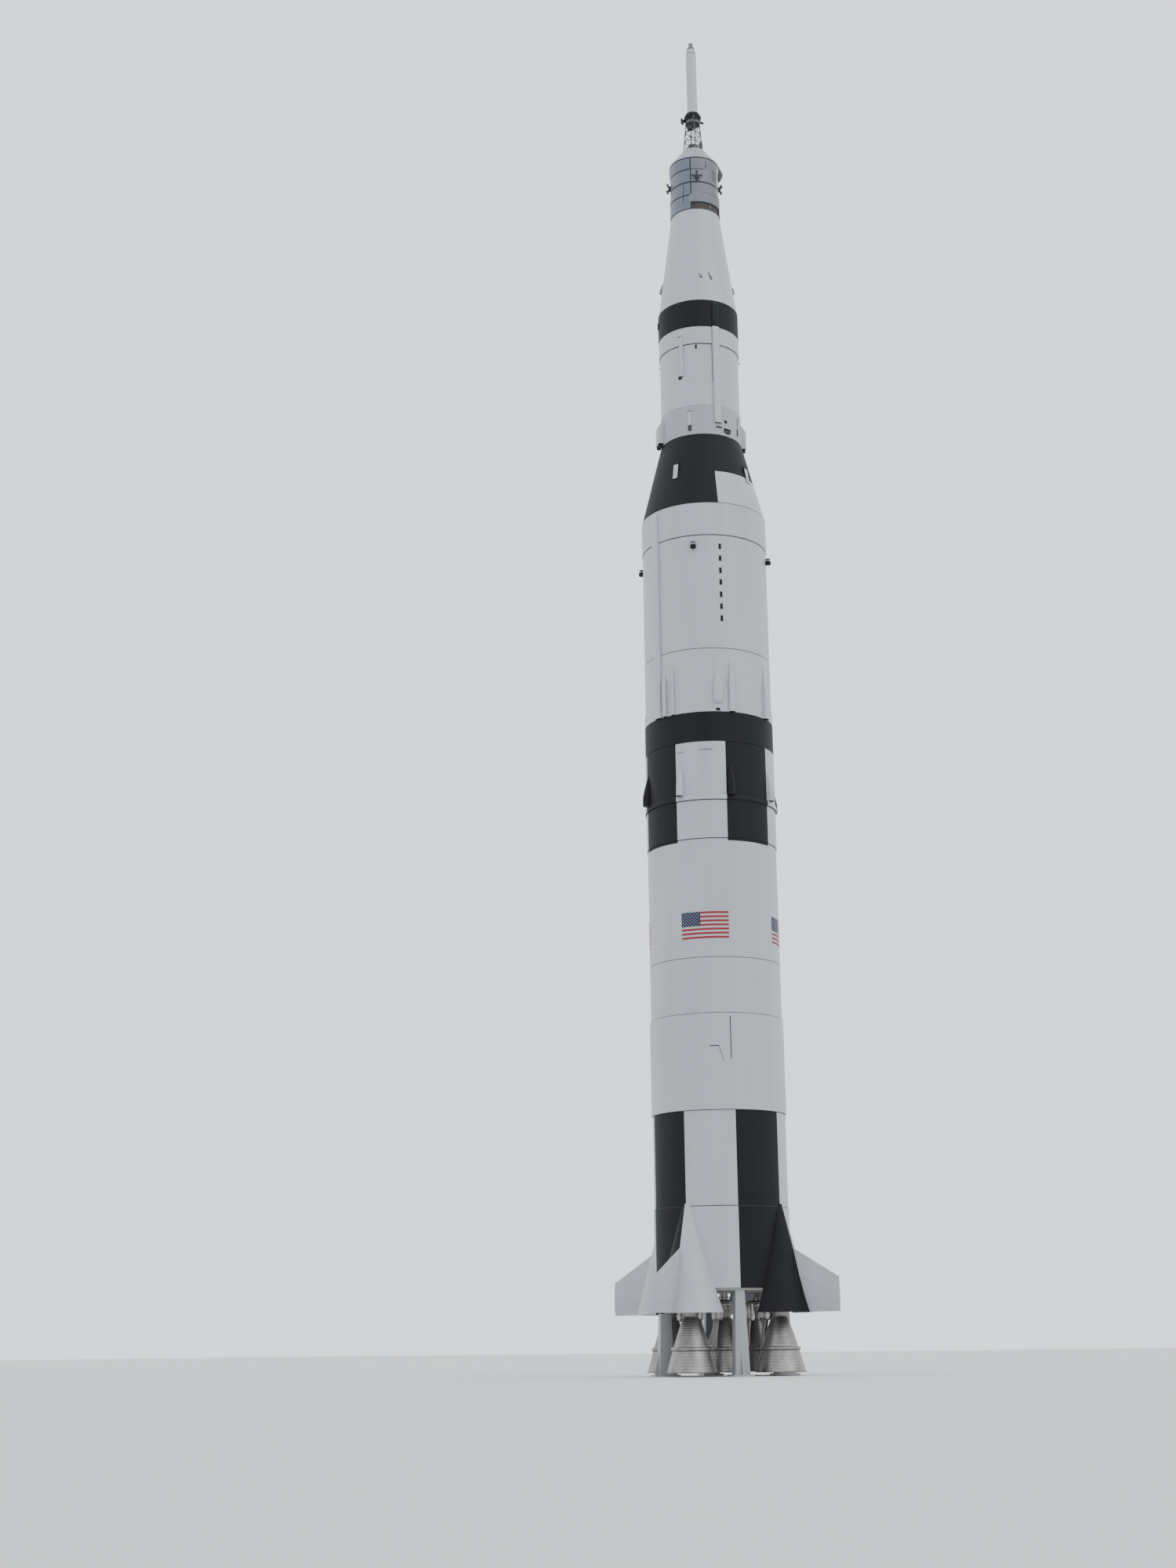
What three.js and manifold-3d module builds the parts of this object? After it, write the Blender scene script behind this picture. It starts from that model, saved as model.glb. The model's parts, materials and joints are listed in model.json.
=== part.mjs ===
// A three-stage space rocket with a crew cone and an escape tower, standing upright, as a one-tenth scale model.
// The model is in millimetres with +Z up. The origin is on the floor, on the rocket's axis.
// Heights are given as stations: inches of the full-size rocket above the foot of its lowest tank frame.
// Angles around the rocket run from -Y towards +X, so the four fins stand at 0, 90, 180 and 270 degrees.

import * as THREE from "three";
import { mergeVertices } from "three/addons/utils/BufferGeometryUtils.js";
import Module from "manifold-3d";

const wasm = await Module();
wasm.setup();

// Scale and floor
const SCALE = 1 / 10;
const INCH = 25.4 * SCALE; // one inch of the full-size rocket
const FLOOR_CLEARANCE = 25; // floor to the rims of the engine bells
const SEAM = 0.3; // gap that touching pieces keep

// Diameters that the stages share, as radii in full-size inches
const BIG_RADIUS = 198; // first and second stage, at their skirts
const FIRST_TANK_RADIUS = 196;
const SECOND_TANK_RADIUS = 195.2;
const UPPER_RADIUS = 130; // third stage, at its skirts
const AFT_SKIRT_RADIUS = 129.2; // third stage
const THIRD_TANK_RADIUS = 126.8;
const SERVICE_RADIUS = 80;
const SERVICE_LIP_RADIUS = 82.8;

// Stations of the engine section
const EXIT_STATION = -115.35; // rims of the main engine bells
const FAIRING_STATION = 48.5; // foot of the fins and engine fairings
const PIVOT_STATION = 100; // gimbal pivots
const SHIELD_STATION = 110; // underside of the heat shield
const SKIN_STATION = 116; // foot of the thrust structure's skin
const THRUST_TOP_STATION = 345;
const ENGINE_CIRCLE = 182; // radius of the circle that the outer engines stand on

const QUARTERS = [0, 90, 180, 270];
const EIGHTHS = [0, 45, 90, 135, 180, 225, 270, 315];
const BIG_SIDES = 48; // facets around the stages
const SMALL_SIDES = 24; // facets around the crew section and the escape motor
const ENGINE_SIDES = 20;
const LEG_SIDES = 6;
const BAR_SIDES = 4;

// Colours of the finishes
const WHITE = { color: 0xe9eaec, roughness: 0.45, metalness: 0.0 };
const BLACK = { color: 0x17181b, roughness: 0.5, metalness: 0.0 };
const SILVER = { color: 0xaab0b8, roughness: 0.35, metalness: 0.8 };
const METAL = { color: 0x77797d, roughness: 0.4, metalness: 0.9 };
const STEEL = { color: 0x8d9094, roughness: 0.6, metalness: 0.5 };

const mm = (inches) => inches * INCH;
const height = (station) => FLOOR_CLEARANCE + mm(station - EXIT_STATION);
const TOP_OF_EVERYTHING = height(4300);

const rocket = new THREE.Group();

// A closed geometry as a solid that can be joined and cut.
function solid(geometry) {
  const bare = geometry.index ? geometry.toNonIndexed() : geometry.clone();
  for (const name of Object.keys(bare.attributes)) if (name !== "position") bare.deleteAttribute(name);
  const merged = mergeVertices(bare, 1e-3);
  return new wasm.Manifold(
    new wasm.Mesh({
      numProp: 3,
      vertProperties: merged.attributes.position.array,
      triVerts: new Uint32Array(merged.index.array),
    }),
  );
}

function geometryOf(body) {
  const mesh = body.getMesh();
  return new THREE.BufferGeometry()
    .setAttribute("position", new THREE.BufferAttribute(new Float32Array(mesh.vertProperties), 3))
    .setIndex(new THREE.BufferAttribute(new Uint32Array(mesh.triVerts), 1));
}

const join = (bodies) => bodies.reduce((whole, body) => whole.add(body));

// Adds one named piece to the rocket.
function piece(name, body, finish) {
  const mesh = new THREE.Mesh(geometryOf(body), new THREE.MeshStandardMaterial(finish));
  mesh.name = name;
  rocket.add(mesh);
}

// A solid of revolution about the rocket's axis, from [radius, z] points that run from the foot to the top.
function revolve(profile, sides) {
  const points = profile.map(([radius, z]) => new THREE.Vector2(radius, z));
  return solid(new THREE.LatheGeometry(points, sides).rotateX(Math.PI / 2));
}

// A closed skin through like rings of points, which run anticlockwise seen from above, foot first.
function loft(rings) {
  const count = rings[0].length;
  const last = (rings.length - 1) * count;
  const index = [];
  for (let start = 0; start < last; start += count) {
    for (let i = 0; i < count; i++) {
      const a = start + i;
      const b = start + ((i + 1) % count);
      index.push(a, b, b + count, a, b + count, a + count);
    }
  }
  for (let i = 1; i < count - 1; i++) {
    index.push(0, i + 1, i);
    index.push(last, last + i, last + i + 1);
  }
  const geometry = new THREE.BufferGeometry();
  geometry.setAttribute("position", new THREE.Float32BufferAttribute(rings.flat(2), 3));
  return solid(geometry.setIndex(index));
}

function box(width, depth, tall, x, y, z) {
  return solid(new THREE.BoxGeometry(width, depth, tall).translate(x, y, z));
}

// A round bar between two points, or a cone where its two radii differ.
function rod(from, to, radius, sides = LEG_SIDES, toRadius = radius) {
  const [a, b] = [new THREE.Vector3(...from), new THREE.Vector3(...to)];
  const along = b.clone().sub(a);
  const geometry = new THREE.CylinderGeometry(toRadius, radius, along.length(), sides);
  const turn = new THREE.Quaternion().setFromUnitVectors(new THREE.Vector3(0, 1, 0), along.clone().normalize());
  const middle = a.add(b).multiplyScalar(0.5);
  return solid(geometry.applyQuaternion(turn).translate(middle.x, middle.y, middle.z));
}

// Places a solid that was made on the -Y side at an angle around the rocket.
const turned = (body, angle) => body.rotate([0, 0, angle]);

// The space that a stage's skin takes, with the seam around it.
const barrel = (radius) =>
  revolve([[0, 0], [mm(radius) + SEAM, 0], [mm(radius) + SEAM, TOP_OF_EVERYTHING], [0, TOP_OF_EVERYTHING]], BIG_SIDES);

// A streamlined pod on the -Y side, with a slender top, sunk a little into the skin it sits on. Its foot is flat,
// or swells from the skin up to a heel.
function pod({ foot, heel = foot, shoulder, tip, halfWidth, proud, radius, sunk = 20 }) {
  const ring = (station, width, out) => {
    const outline = [
      [-width, -sunk],
      [-width, out * 0.35],
      [-width * 0.6, out * 0.85],
      [0, out],
      [width * 0.6, out * 0.85],
      [width, out * 0.35],
      [width, -sunk],
    ];
    return outline.map(([x, y]) => [mm(x), -mm(radius + y), height(station)]);
  };
  const swelling = heel > foot ? [ring(foot, halfWidth * 0.4, 0.5)] : [];
  const full = [ring(heel, halfWidth, proud), ring(shoulder, halfWidth, proud)];
  return loft([...swelling, ...full, ring(tip, halfWidth * 0.25, 0.5)]);
}

// The tank and skirt sections, which are plain drums and cones. Each sits on the one before it.
// Columns: node, foot station, top station, foot radius, top radius, finish.
const SECTIONS = [
  ["first_fuel_tank", 345, 616, FIRST_TANK_RADIUS, FIRST_TANK_RADIUS, WHITE],
  ["first_intertank", 616, 896, 199.5, 199.5, WHITE],
  ["first_oxidizer_tank_lower", 896, 1061, FIRST_TANK_RADIUS, FIRST_TANK_RADIUS, WHITE],
  ["first_oxidizer_tank_upper", 1061, 1419, FIRST_TANK_RADIUS, FIRST_TANK_RADIUS, WHITE],
  ["first_forward_skirt", 1419, 1537, BIG_RADIUS, BIG_RADIUS, WHITE],
  ["second_aft_skirt", 1717, 1811, BIG_RADIUS, BIG_RADIUS, BLACK],
  ["second_tank_lower", 1811, 2014, SECOND_TANK_RADIUS, SECOND_TANK_RADIUS, WHITE],
  ["second_tank_upper", 2014, 2383, SECOND_TANK_RADIUS, SECOND_TANK_RADIUS, WHITE],
  ["second_forward_skirt", 2383, 2490, 197, 197, WHITE],
  ["third_aft_skirt", 2750, 2850, AFT_SKIRT_RADIUS, AFT_SKIRT_RADIUS, WHITE],
  ["third_tank", 2850, 3065, THIRD_TANK_RADIUS, THIRD_TANK_RADIUS, WHITE],
  ["third_forward_skirt", 3065, 3124, 129.8, 129.8, WHITE],
  ["instrument_ring", 3124, 3218, 130.3, 130.3, BLACK],
  ["adapter_cone", 3218, 3575, 128.3, SERVICE_RADIUS, WHITE],
];

const drum = (foot, top, footRadius, topRadius) =>
  revolve(
    [[0, height(foot)], [mm(footRadius), height(foot)], [mm(topRadius), height(top) - SEAM], [0, height(top) - SEAM]],
    BIG_SIDES,
  );

for (const [name, foot, top, footRadius, topRadius, finish] of SECTIONS) {
  piece(name, drum(foot, top, footRadius, topRadius), finish);
}

// The skins as they step in and out, with the seam around them, for the covers and fairings that cross their joints.
const THRUST_SECTION = ["thrust_structure", EXIT_STATION, THRUST_TOP_STATION, BIG_RADIUS, BIG_RADIUS, WHITE];
const steppedSkin = join(
  [THRUST_SECTION, ...SECTIONS].map(([, foot, top, footRadius, topRadius]) =>
    revolve(
      [
        [0, height(foot) - SEAM],
        [mm(footRadius) + SEAM, height(foot) - SEAM],
        [mm(topRadius) + SEAM, height(top)],
        [0, height(top)],
      ],
      BIG_SIDES,
    ),
  ),
);

// The interstage between the first two stages: a lip at its foot and eight slender motor fairings around it.
const INTERSTAGE = { foot: 1537, lipTop: 1552, top: 1717, lipRadius: 201.5 };
const SETTLING_FAIRING = { foot: 1552, shoulder: 1575, tip: 1650, halfWidth: 11, proud: 19.5, radius: BIG_RADIUS };
const SETTLING_ANGLE = 4.2; // of the first of the eight

function interstage() {
  const { foot, lipTop, top, lipRadius } = INTERSTAGE;
  const wall = drum(foot, top, BIG_RADIUS, BIG_RADIUS);
  const lip = drum(foot, lipTop, lipRadius, lipRadius);
  return join([wall, lip, ...EIGHTHS.map((angle) => turned(pod(SETTLING_FAIRING), angle + SETTLING_ANGLE))]);
}
piece("interstage", interstage(), WHITE);

// The cone between the second and third stages, with four short fairings low on its slope. Their faces stand
// nearly upright, so they rise out of the slope towards the top.
// Fairing columns: station, how far the face stands out from the slope.
const CONE = { foot: 2490, top: 2750, footRadius: 196, topRadius: 129.9 };
const RETRO_ROWS = [
  [2591, 2],
  [2642, 6.6],
  [2652, 0.5],
];
const RETRO_ANGLES = [1.2, 89, 180, 270];
const RETRO_HALF_WIDTH = 8;

function retroFairing() {
  const sunk = 15;
  return loft(
    RETRO_ROWS.map(([station, proud]) => {
      const slope = THREE.MathUtils.mapLinear(station, CONE.foot, CONE.top, CONE.footRadius, CONE.topRadius);
      const outline = [[-1, proud], [1, proud], [1, -sunk], [-1, -sunk]];
      return outline.map(([x, y]) => [x * mm(RETRO_HALF_WIDTH), -mm(slope + y), height(station)]);
    }),
  );
}

function conicalInterstage() {
  const wall = drum(CONE.foot, CONE.top, CONE.footRadius, CONE.topRadius);
  return join([wall, ...RETRO_ANGLES.map((angle) => turned(retroFairing(), angle))]);
}
piece("conical_interstage", conicalInterstage(), BLACK);

// Long covers and pods on the stages' skins, each cut to the skins behind it.
// Columns: node, angle, foot, heel, shoulder and tip stations, half width, how far it stands out, skin radius, finish.
const COVERS = [
  ["second_systems_tunnel", -19.2, 1811, 1811, 2470, 2486, 14, 8, 197, WHITE],
  ["feed_fairing_1", -11, 1811, 1811, 1920, 1945, 8, 9, SECOND_TANK_RADIUS, WHITE],
  ["feed_fairing_2", -1.8, 1811, 1811, 1930, 1965, 5, 8, SECOND_TANK_RADIUS, WHITE],
  ["feed_fairing_3", 40, 1836, 1850, 1885, 1945, 15, 10, SECOND_TANK_RADIUS, WHITE],
  ["feed_fairing_4", 52.4, 1811, 1811, 1900, 1985, 10, 11, SECOND_TANK_RADIUS, WHITE],
  ["feed_fairing_5", 93.5, 1811, 1811, 1880, 1985, 12.5, 12, SECOND_TANK_RADIUS, WHITE],
  ["third_systems_tunnel", 56, 2790, 2790, 3205, 3214, 12, 6, UPPER_RADIUS, WHITE],
  ["third_cable_cover", 5, 2955, 2955, 3086, 3096, 6, 3, UPPER_RADIUS, WHITE],
];
for (const [name, angle, foot, heel, shoulder, tip, halfWidth, proud, radius, finish] of COVERS) {
  const cover = turned(pod({ foot, heel, shoulder, tip, halfWidth, proud, radius }), angle);
  piece(name, cover.subtract(steppedSkin), finish);
}

// The two control modules at the foot of the third stage: boxes with a sloping roof and nozzles underneath.
const CONTROL_MODULE = { foot: 2756, shoulder: 2815, tip: 2835, footHalf: 21, tipHalf: 24, proud: 15.5, sunk: 12 };
const CONTROL_ANGLES = [135, 315];

function controlModule() {
  const { foot, shoulder, tip, footHalf, tipHalf, proud, sunk } = CONTROL_MODULE;
  const ring = (station, halfWidth, out) =>
    [[-halfWidth, out], [halfWidth, out], [halfWidth, -sunk], [-halfWidth, -sunk]].map(([x, y]) => [
      mm(x),
      -mm(AFT_SKIRT_RADIUS + y),
      height(station),
    ]);
  const body = loft([ring(foot, footHalf, proud), ring(shoulder, footHalf, proud), ring(tip, tipHalf, 0.6)]);
  const nozzles = [-10, 10].map((side) =>
    rod(
      [mm(side), -mm(AFT_SKIRT_RADIUS + 8), height(foot) + 1],
      [mm(side), -mm(AFT_SKIRT_RADIUS + 8.6), height(foot - 10)],
      mm(4),
      8,
      mm(6.4),
    ),
  );
  return join([body.subtract(barrel(AFT_SKIRT_RADIUS)), ...nozzles]);
}
CONTROL_ANGLES.forEach((angle, i) => piece(`control_module_${i + 1}`, turned(controlModule(), angle), WHITE));

// The service section: a drum with a band at its foot and a lip that flares out under the crew cone.
// Columns: radius in full-size inches, station.
const SERVICE_OUTLINE = [
  [82.3, 3575],
  [82.3, 3642],
  [SERVICE_RADIUS, 3642],
  [SERVICE_RADIUS, 3725],
  [SERVICE_LIP_RADIUS, 3745],
  [SERVICE_LIP_RADIUS, 3765],
];

function serviceSection(grow) {
  const outline = SERVICE_OUTLINE.map(([radius, station]) => [mm(radius) + grow, height(station)]);
  outline[outline.length - 1][1] -= SEAM;
  return revolve([[0, outline[0][1]], ...outline, [0, outline[outline.length - 1][1]]], BIG_SIDES);
}
piece("service_section", serviceSection(0), SILVER);

// The four thruster quads on the service section: a low housing with a cross of four small nozzles.
const QUAD = { station: 3691, angle: 37, housing: 14, proud: 7, nozzleReach: 17, nozzleRadius: 4.5 };

function thrusterQuad() {
  const { station, housing, proud, nozzleReach, nozzleRadius } = QUAD;
  const face = mm(SERVICE_RADIUS + proud);
  const z = height(station);
  const block = box(mm(housing), mm(proud + 10), mm(housing), 0, -mm(SERVICE_RADIUS + proud - (proud + 10) / 2), z);
  const nozzles = [[1, 0], [-1, 0], [0, 1], [0, -1]].map(([across, up]) =>
    rod(
      [0, -face + mm(3), z],
      [across * mm(nozzleReach), -face - mm(3), z + up * mm(nozzleReach)],
      mm(2),
      8,
      mm(nozzleRadius),
    ),
  );
  return join([block, ...nozzles]).subtract(barrel(SERVICE_RADIUS));
}
QUARTERS.forEach((angle, i) => piece(`thruster_quad_${i + 1}`, turned(thrusterQuad(), angle + QUAD.angle), SILVER));

// The crew cone under its protective cover, with the short hatch drum that shows inside the tower's legs.
const CREW = { foot: 3765, top: 3830, topRadius: 34.3, drumTop: 3856, drumRadius: 17.5 };

function crewCone() {
  const { foot, top, topRadius, drumTop, drumRadius } = CREW;
  return revolve(
    [
      [0, height(foot)],
      [mm(SERVICE_LIP_RADIUS), height(foot)],
      [mm(topRadius), height(top)],
      [mm(drumRadius), height(top)],
      [mm(drumRadius), height(drumTop) - 12],
      [mm(drumRadius) - 12, height(drumTop)],
      [0, height(drumTop)],
    ],
    SMALL_SIDES * 1.5,
  );
}
piece("crew_cone", crewCone(), WHITE);

// The umbilical housing that runs over the joint of the service section and the crew cone.
const UMBILICAL = { angle: 124, foot: 3718, knee: 3739, top: 3780, halfWidth: 11, proud: 16 };

function umbilicalHousing() {
  const { foot, knee, top, halfWidth, proud } = UMBILICAL;
  const inner = -mm(SERVICE_RADIUS - 26);
  const ring = (station, out) =>
    [[-halfWidth, out], [halfWidth, out]]
      .map(([x, y]) => [mm(x), -mm(SERVICE_RADIUS + y), height(station)])
      .concat([[mm(halfWidth), inner, height(station)], [-mm(halfWidth), inner, height(station)]]);
  const shape = loft([ring(foot, 5), ring(knee, proud), ring(top, -3)]);
  const { foot: coneFoot, top: coneTop, topRadius } = CREW;
  const cone = revolve(
    [
      [0, height(coneFoot) - SEAM],
      [mm(SERVICE_LIP_RADIUS) + 2 * SEAM, height(coneFoot) - SEAM],
      [mm(topRadius) + 2 * SEAM, height(coneTop)],
      [0, height(coneTop)],
    ],
    SMALL_SIDES * 1.5,
  );
  return turned(shape, UMBILICAL.angle).subtract(cone).subtract(serviceSection(SEAM));
}
piece("umbilical_housing", umbilicalHousing(), WHITE);

// The escape tower: four legs that lean in, with three bays of level and crossed bars.
const TOWER = { foot: 3830, top: 3934, footRadius: 32.3, topRadius: 23.8, legTube: 1.8, barTube: 1.1, bays: 3 };

function towerPoint(corner, level) {
  const radius = mm(TOWER.footRadius + level * (TOWER.topRadius - TOWER.footRadius));
  const angle = THREE.MathUtils.degToRad(45 + 90 * corner);
  const z = height(TOWER.foot) + level * mm(TOWER.top - TOWER.foot);
  return [radius * Math.sin(angle), -radius * Math.cos(angle), z];
}

function escapeTower() {
  const bars = [];
  for (let corner = 0; corner < 4; corner++) {
    bars.push(rod(towerPoint(corner, -0.1), towerPoint(corner, 1.1), mm(TOWER.legTube)));
    for (let bay = 0; bay < TOWER.bays; bay++) {
      const low = (bay + 0.06) / TOWER.bays;
      const high = (bay + 0.94) / TOWER.bays;
      const ends = [[low, high], [high, low], [low, low]].slice(0, bay > 0 ? 3 : 2);
      for (const [from, to] of ends) {
        bars.push(rod(towerPoint(corner, from), towerPoint(corner + 1, to), mm(TOWER.barTube), BAR_SIDES));
      }
    }
  }
  const low = height(TOWER.foot) + SEAM;
  const high = height(TOWER.top) - SEAM;
  return join(bars).intersect(box(400, 400, high - low, 0, 0, (low + high) / 2));
}
piece("escape_tower", escapeTower(), WHITE);

// The escape motor: its flared skirt with canted nozzles, the motor case, and the nose that tapers to a small cap.
// Two nozzles have wide mouths and the other two are short stubs.
const MOTOR = { skirtFoot: 3934, skirtWide: 3960, foot: 3983, shoulder: 4204, radius: 17.2 };
const SKIRT_RADII = { foot: 24.5, wide: 29 };
const NOZZLE = { rootStation: 3949, rootRadius: 20, exitStation: 3943, exitRadius: 37, throat: 3.5 };
const NOZZLE_MOUTHS = [4.5, 4.5, 12, 12];

function escapeSkirt() {
  const { skirtFoot, skirtWide, foot, radius } = MOTOR;
  const shell = revolve(
    [
      [0, height(skirtFoot)],
      [mm(SKIRT_RADII.foot), height(skirtFoot)],
      [mm(SKIRT_RADII.wide), height(skirtWide)],
      [mm(radius), height(foot) - SEAM],
      [0, height(foot) - SEAM],
    ],
    SMALL_SIDES,
  );
  const nozzle = (mouth) =>
    rod(
      [0, -mm(NOZZLE.rootRadius), height(NOZZLE.rootStation)],
      [0, -mm(NOZZLE.exitRadius), height(NOZZLE.exitStation)],
      mm(NOZZLE.throat),
      12,
      mm(mouth),
    );
  return join([shell, ...QUARTERS.map((angle, i) => turned(nozzle(NOZZLE_MOUTHS[i]), angle))]);
}
piece("escape_skirt", turned(escapeSkirt(), 45), BLACK);
piece("escape_motor", drum(MOTOR.foot, MOTOR.shoulder, MOTOR.radius, MOTOR.radius), WHITE);

const nose = [
  [0, height(MOTOR.shoulder)],
  [mm(MOTOR.radius), height(MOTOR.shoulder)],
  [mm(14.3), height(4219.5)],
  [mm(14.4), height(4222.4)],
  [mm(8.5), height(4234.6)],
  [mm(7.9), height(4236)],
  [mm(7.9), height(4246.5)],
  [0, height(4246.5)],
];
piece("nose_cap", revolve(nose, SMALL_SIDES), WHITE);

// A gimbal: ears under the heat shield hold the cross's pins along Y, and the engine's ears hold those along X.
const GIMBAL = { cube: 16, pinRadius: 4, pinReach: 13.5, earGap: 14, earThick: 8, earWide: 18, earPast: 9 };

function ears(axisX, fromZ, toZ) {
  const { earGap, earThick, earWide } = GIMBAL;
  const middle = (fromZ + toZ) / 2;
  const out = earGap + earThick / 2;
  return [-out, out].map((side) =>
    axisX
      ? box(earThick, earWide, Math.abs(toZ - fromZ), side, 0, middle)
      : box(earWide, earThick, Math.abs(toZ - fromZ), 0, side, middle),
  );
}

const PIVOT = height(PIVOT_STATION);
const place = (angle, radius) => {
  const turn = THREE.MathUtils.degToRad(angle);
  return [mm(radius) * Math.sin(turn), -mm(radius) * Math.cos(turn), 0];
};

function gimbalCross() {
  const { cube, pinRadius, pinReach } = GIMBAL;
  return join([
    box(cube, cube, cube, 0, 0, PIVOT),
    rod([-pinReach, 0, PIVOT], [pinReach, 0, PIVOT], pinRadius, 8),
    rod([0, -pinReach, PIVOT], [0, pinReach, PIVOT], pinRadius, 8),
  ]);
}

// The thrust structure: the lowest drum, the heat shield that closes it, and the ears that the outer engines hang from.
function thrustStructure() {
  const body = revolve(
    [
      [0, height(SHIELD_STATION)],
      [mm(BIG_RADIUS - 6), height(SHIELD_STATION)],
      [mm(BIG_RADIUS - 6), height(SKIN_STATION)],
      [mm(BIG_RADIUS), height(SKIN_STATION)],
      [mm(BIG_RADIUS), height(THRUST_TOP_STATION) - SEAM],
      [0, height(THRUST_TOP_STATION) - SEAM],
    ],
    BIG_SIDES,
  );
  const hangers = QUARTERS.flatMap((angle) =>
    ears(false, PIVOT - GIMBAL.earPast, height(SHIELD_STATION) + 2).map((ear) =>
      ear.translate(place(angle, ENGINE_CIRCLE)),
    ),
  );
  return join([body, ...hangers]);
}
piece("thrust_structure", thrustStructure(), WHITE);

// A main engine: dome and chamber, a long bell that is open below, the exhaust manifold around it, and its turbopump.
// Columns: radius in full-size inches, station. The outside runs up to the dome, the inside runs down from the injector.
const BELL_OUTSIDE = [
  [72, -115.35],
  [60.5, -75],
  [42, -15],
  [19.5, 40],
  [24, 56],
  [24, 80],
  [18, 88],
  [0, 88],
];
const BELL_INSIDE = [
  [0, 58],
  [20, 56],
  [16, 40],
  [39.5, -15],
  [58, -75],
  [69.5, -115.35],
];
const MANIFOLD = { station: -50, tall: 12, radius: 59, footInside: 53, topInside: 49.5 };
const TURBOPUMP = { offset: 37, foot: 28, top: 84, radius: 17 };
const EXHAUST_DUCT = { offset: 45, radius: 9 };

function mainEngine() {
  const profile = [...BELL_INSIDE, ...BELL_OUTSIDE.slice(0, -1)];
  const bell = revolve(
    [...profile, [0, 88]].map(([radius, station]) => [mm(radius), height(station)]),
    ENGINE_SIDES,
  );
  const { station, tall, radius, footInside, topInside } = MANIFOLD;
  const manifold = revolve(
    [
      [mm(footInside), height(station - tall / 2)],
      [mm(radius), height(station - tall / 4)],
      [mm(radius - 3), height(station + tall / 2)],
      [mm(topInside), height(station + tall / 2)],
      [mm(footInside), height(station - tall / 2)],
    ],
    ENGINE_SIDES,
  );
  const pump = rod(
    [0, -mm(TURBOPUMP.offset), height(TURBOPUMP.foot)],
    [0, -mm(TURBOPUMP.offset), height(TURBOPUMP.top)],
    mm(TURBOPUMP.radius),
    12,
  );
  const duct = rod(
    [0, -mm(EXHAUST_DUCT.offset), height(TURBOPUMP.foot + 6)],
    [0, -mm(radius - 6), height(station)],
    mm(EXHAUST_DUCT.radius),
    10,
  );
  return join([bell, manifold, pump, duct]);
}

const engineEars = () => ears(true, height(86), PIVOT + GIMBAL.earPast);
const centreMount = () => rod([0, 0, height(86)], [0, 0, height(SHIELD_STATION) - SEAM], mm(14), 12);

piece("engine_centre", join([mainEngine(), centreMount()]), METAL);
QUARTERS.forEach((angle, i) => {
  const outer = join([turned(mainEngine(), angle + 180), ...engineEars()]);
  piece(`gimbal_cross_${i + 1}`, gimbalCross().translate(place(angle, ENGINE_CIRCLE)), STEEL);
  piece(`engine_${i + 1}`, outer.translate(place(angle, ENGINE_CIRCLE)), METAL);
});

// The engine fairings: half-cones that swell from the skin down to their open foot, hollow so that the engine can swing.
// Columns: station, distance of the half-cone's axis from the rocket's axis, its radius.
const FAIRING_OUTSIDE = [
  [FAIRING_STATION, 182, 100],
  [352, 189, 13],
];
const FAIRING_INSIDE = [
  [FAIRING_STATION - 4, 182, 97],
  [300, 188, 24],
];
const FAIRING_STEPS = 12; // facets around the half-cone

function halfCone(rows, grow = 0) {
  const rings = rows.map(([station, centre, radius]) => {
    const ring = [];
    for (let i = 0; i <= FAIRING_STEPS; i++) {
      const turn = Math.PI + (Math.PI * i) / FAIRING_STEPS;
      const reach = mm(radius) + grow;
      ring.push([reach * Math.cos(turn), reach * Math.sin(turn) - mm(centre), height(station)]);
    }
    const inner = -mm(140);
    ring.push([mm(radius) + grow, inner, height(station)], [-mm(radius) - grow, inner, height(station)]);
    return ring;
  });
  return loft(rings);
}

const fairing = () => halfCone(FAIRING_OUTSIDE).subtract(halfCone(FAIRING_INSIDE)).subtract(steppedSkin);

// A fin: a swept plate, thick at its root and thin at its tip, whose foot is level with the fairing's.
const FIN = { tipRadius: 378.5, tipChord: 95, sweep: 30, rootRadius: 225, rootHalf: 7, tipHalf: 2.5 };

function fin() {
  const { tipRadius, tipChord, sweep, rootRadius, rootHalf, tipHalf } = FIN;
  const foot = FAIRING_STATION;
  const rise = (tipRadius - rootRadius) * Math.tan(THREE.MathUtils.degToRad(sweep));
  // a ring across the fin at one radius: thin at both edges, thickest between them
  const ring = (radius, top, half) => {
    const low = height(foot);
    const high = height(top);
    const edge = mm(half) * 0.25;
    const mid = [low + (high - low) * 0.3, low + (high - low) * 0.6];
    return [
      [edge, low],
      [mm(half), mid[0]],
      [mm(half), mid[1]],
      [edge * 0.6, high],
      [-edge * 0.6, high],
      [-mm(half), mid[1]],
      [-mm(half), mid[0]],
      [-edge, low],
    ].map(([x, z]) => [x, -mm(radius), z]);
  };
  const plate = loft([ring(rootRadius, foot + tipChord + rise, rootHalf), ring(tipRadius, foot + tipChord, tipHalf)]);
  return plate.subtract(halfCone(FAIRING_OUTSIDE, SEAM));
}
QUARTERS.forEach((angle, i) => {
  piece(`engine_fairing_${i + 1}`, turned(fairing(), angle), WHITE);
  piece(`fin_${i + 1}`, turned(fin(), angle), WHITE);
});

// The four posts that the rocket stands on, between the fins: a foot plate, a tapering column and two side gussets.
const POST = { radius: 176, plateWide: 150, plateDeep: 190, plateThick: 14, footSize: 110, headSize: 66 };

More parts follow.
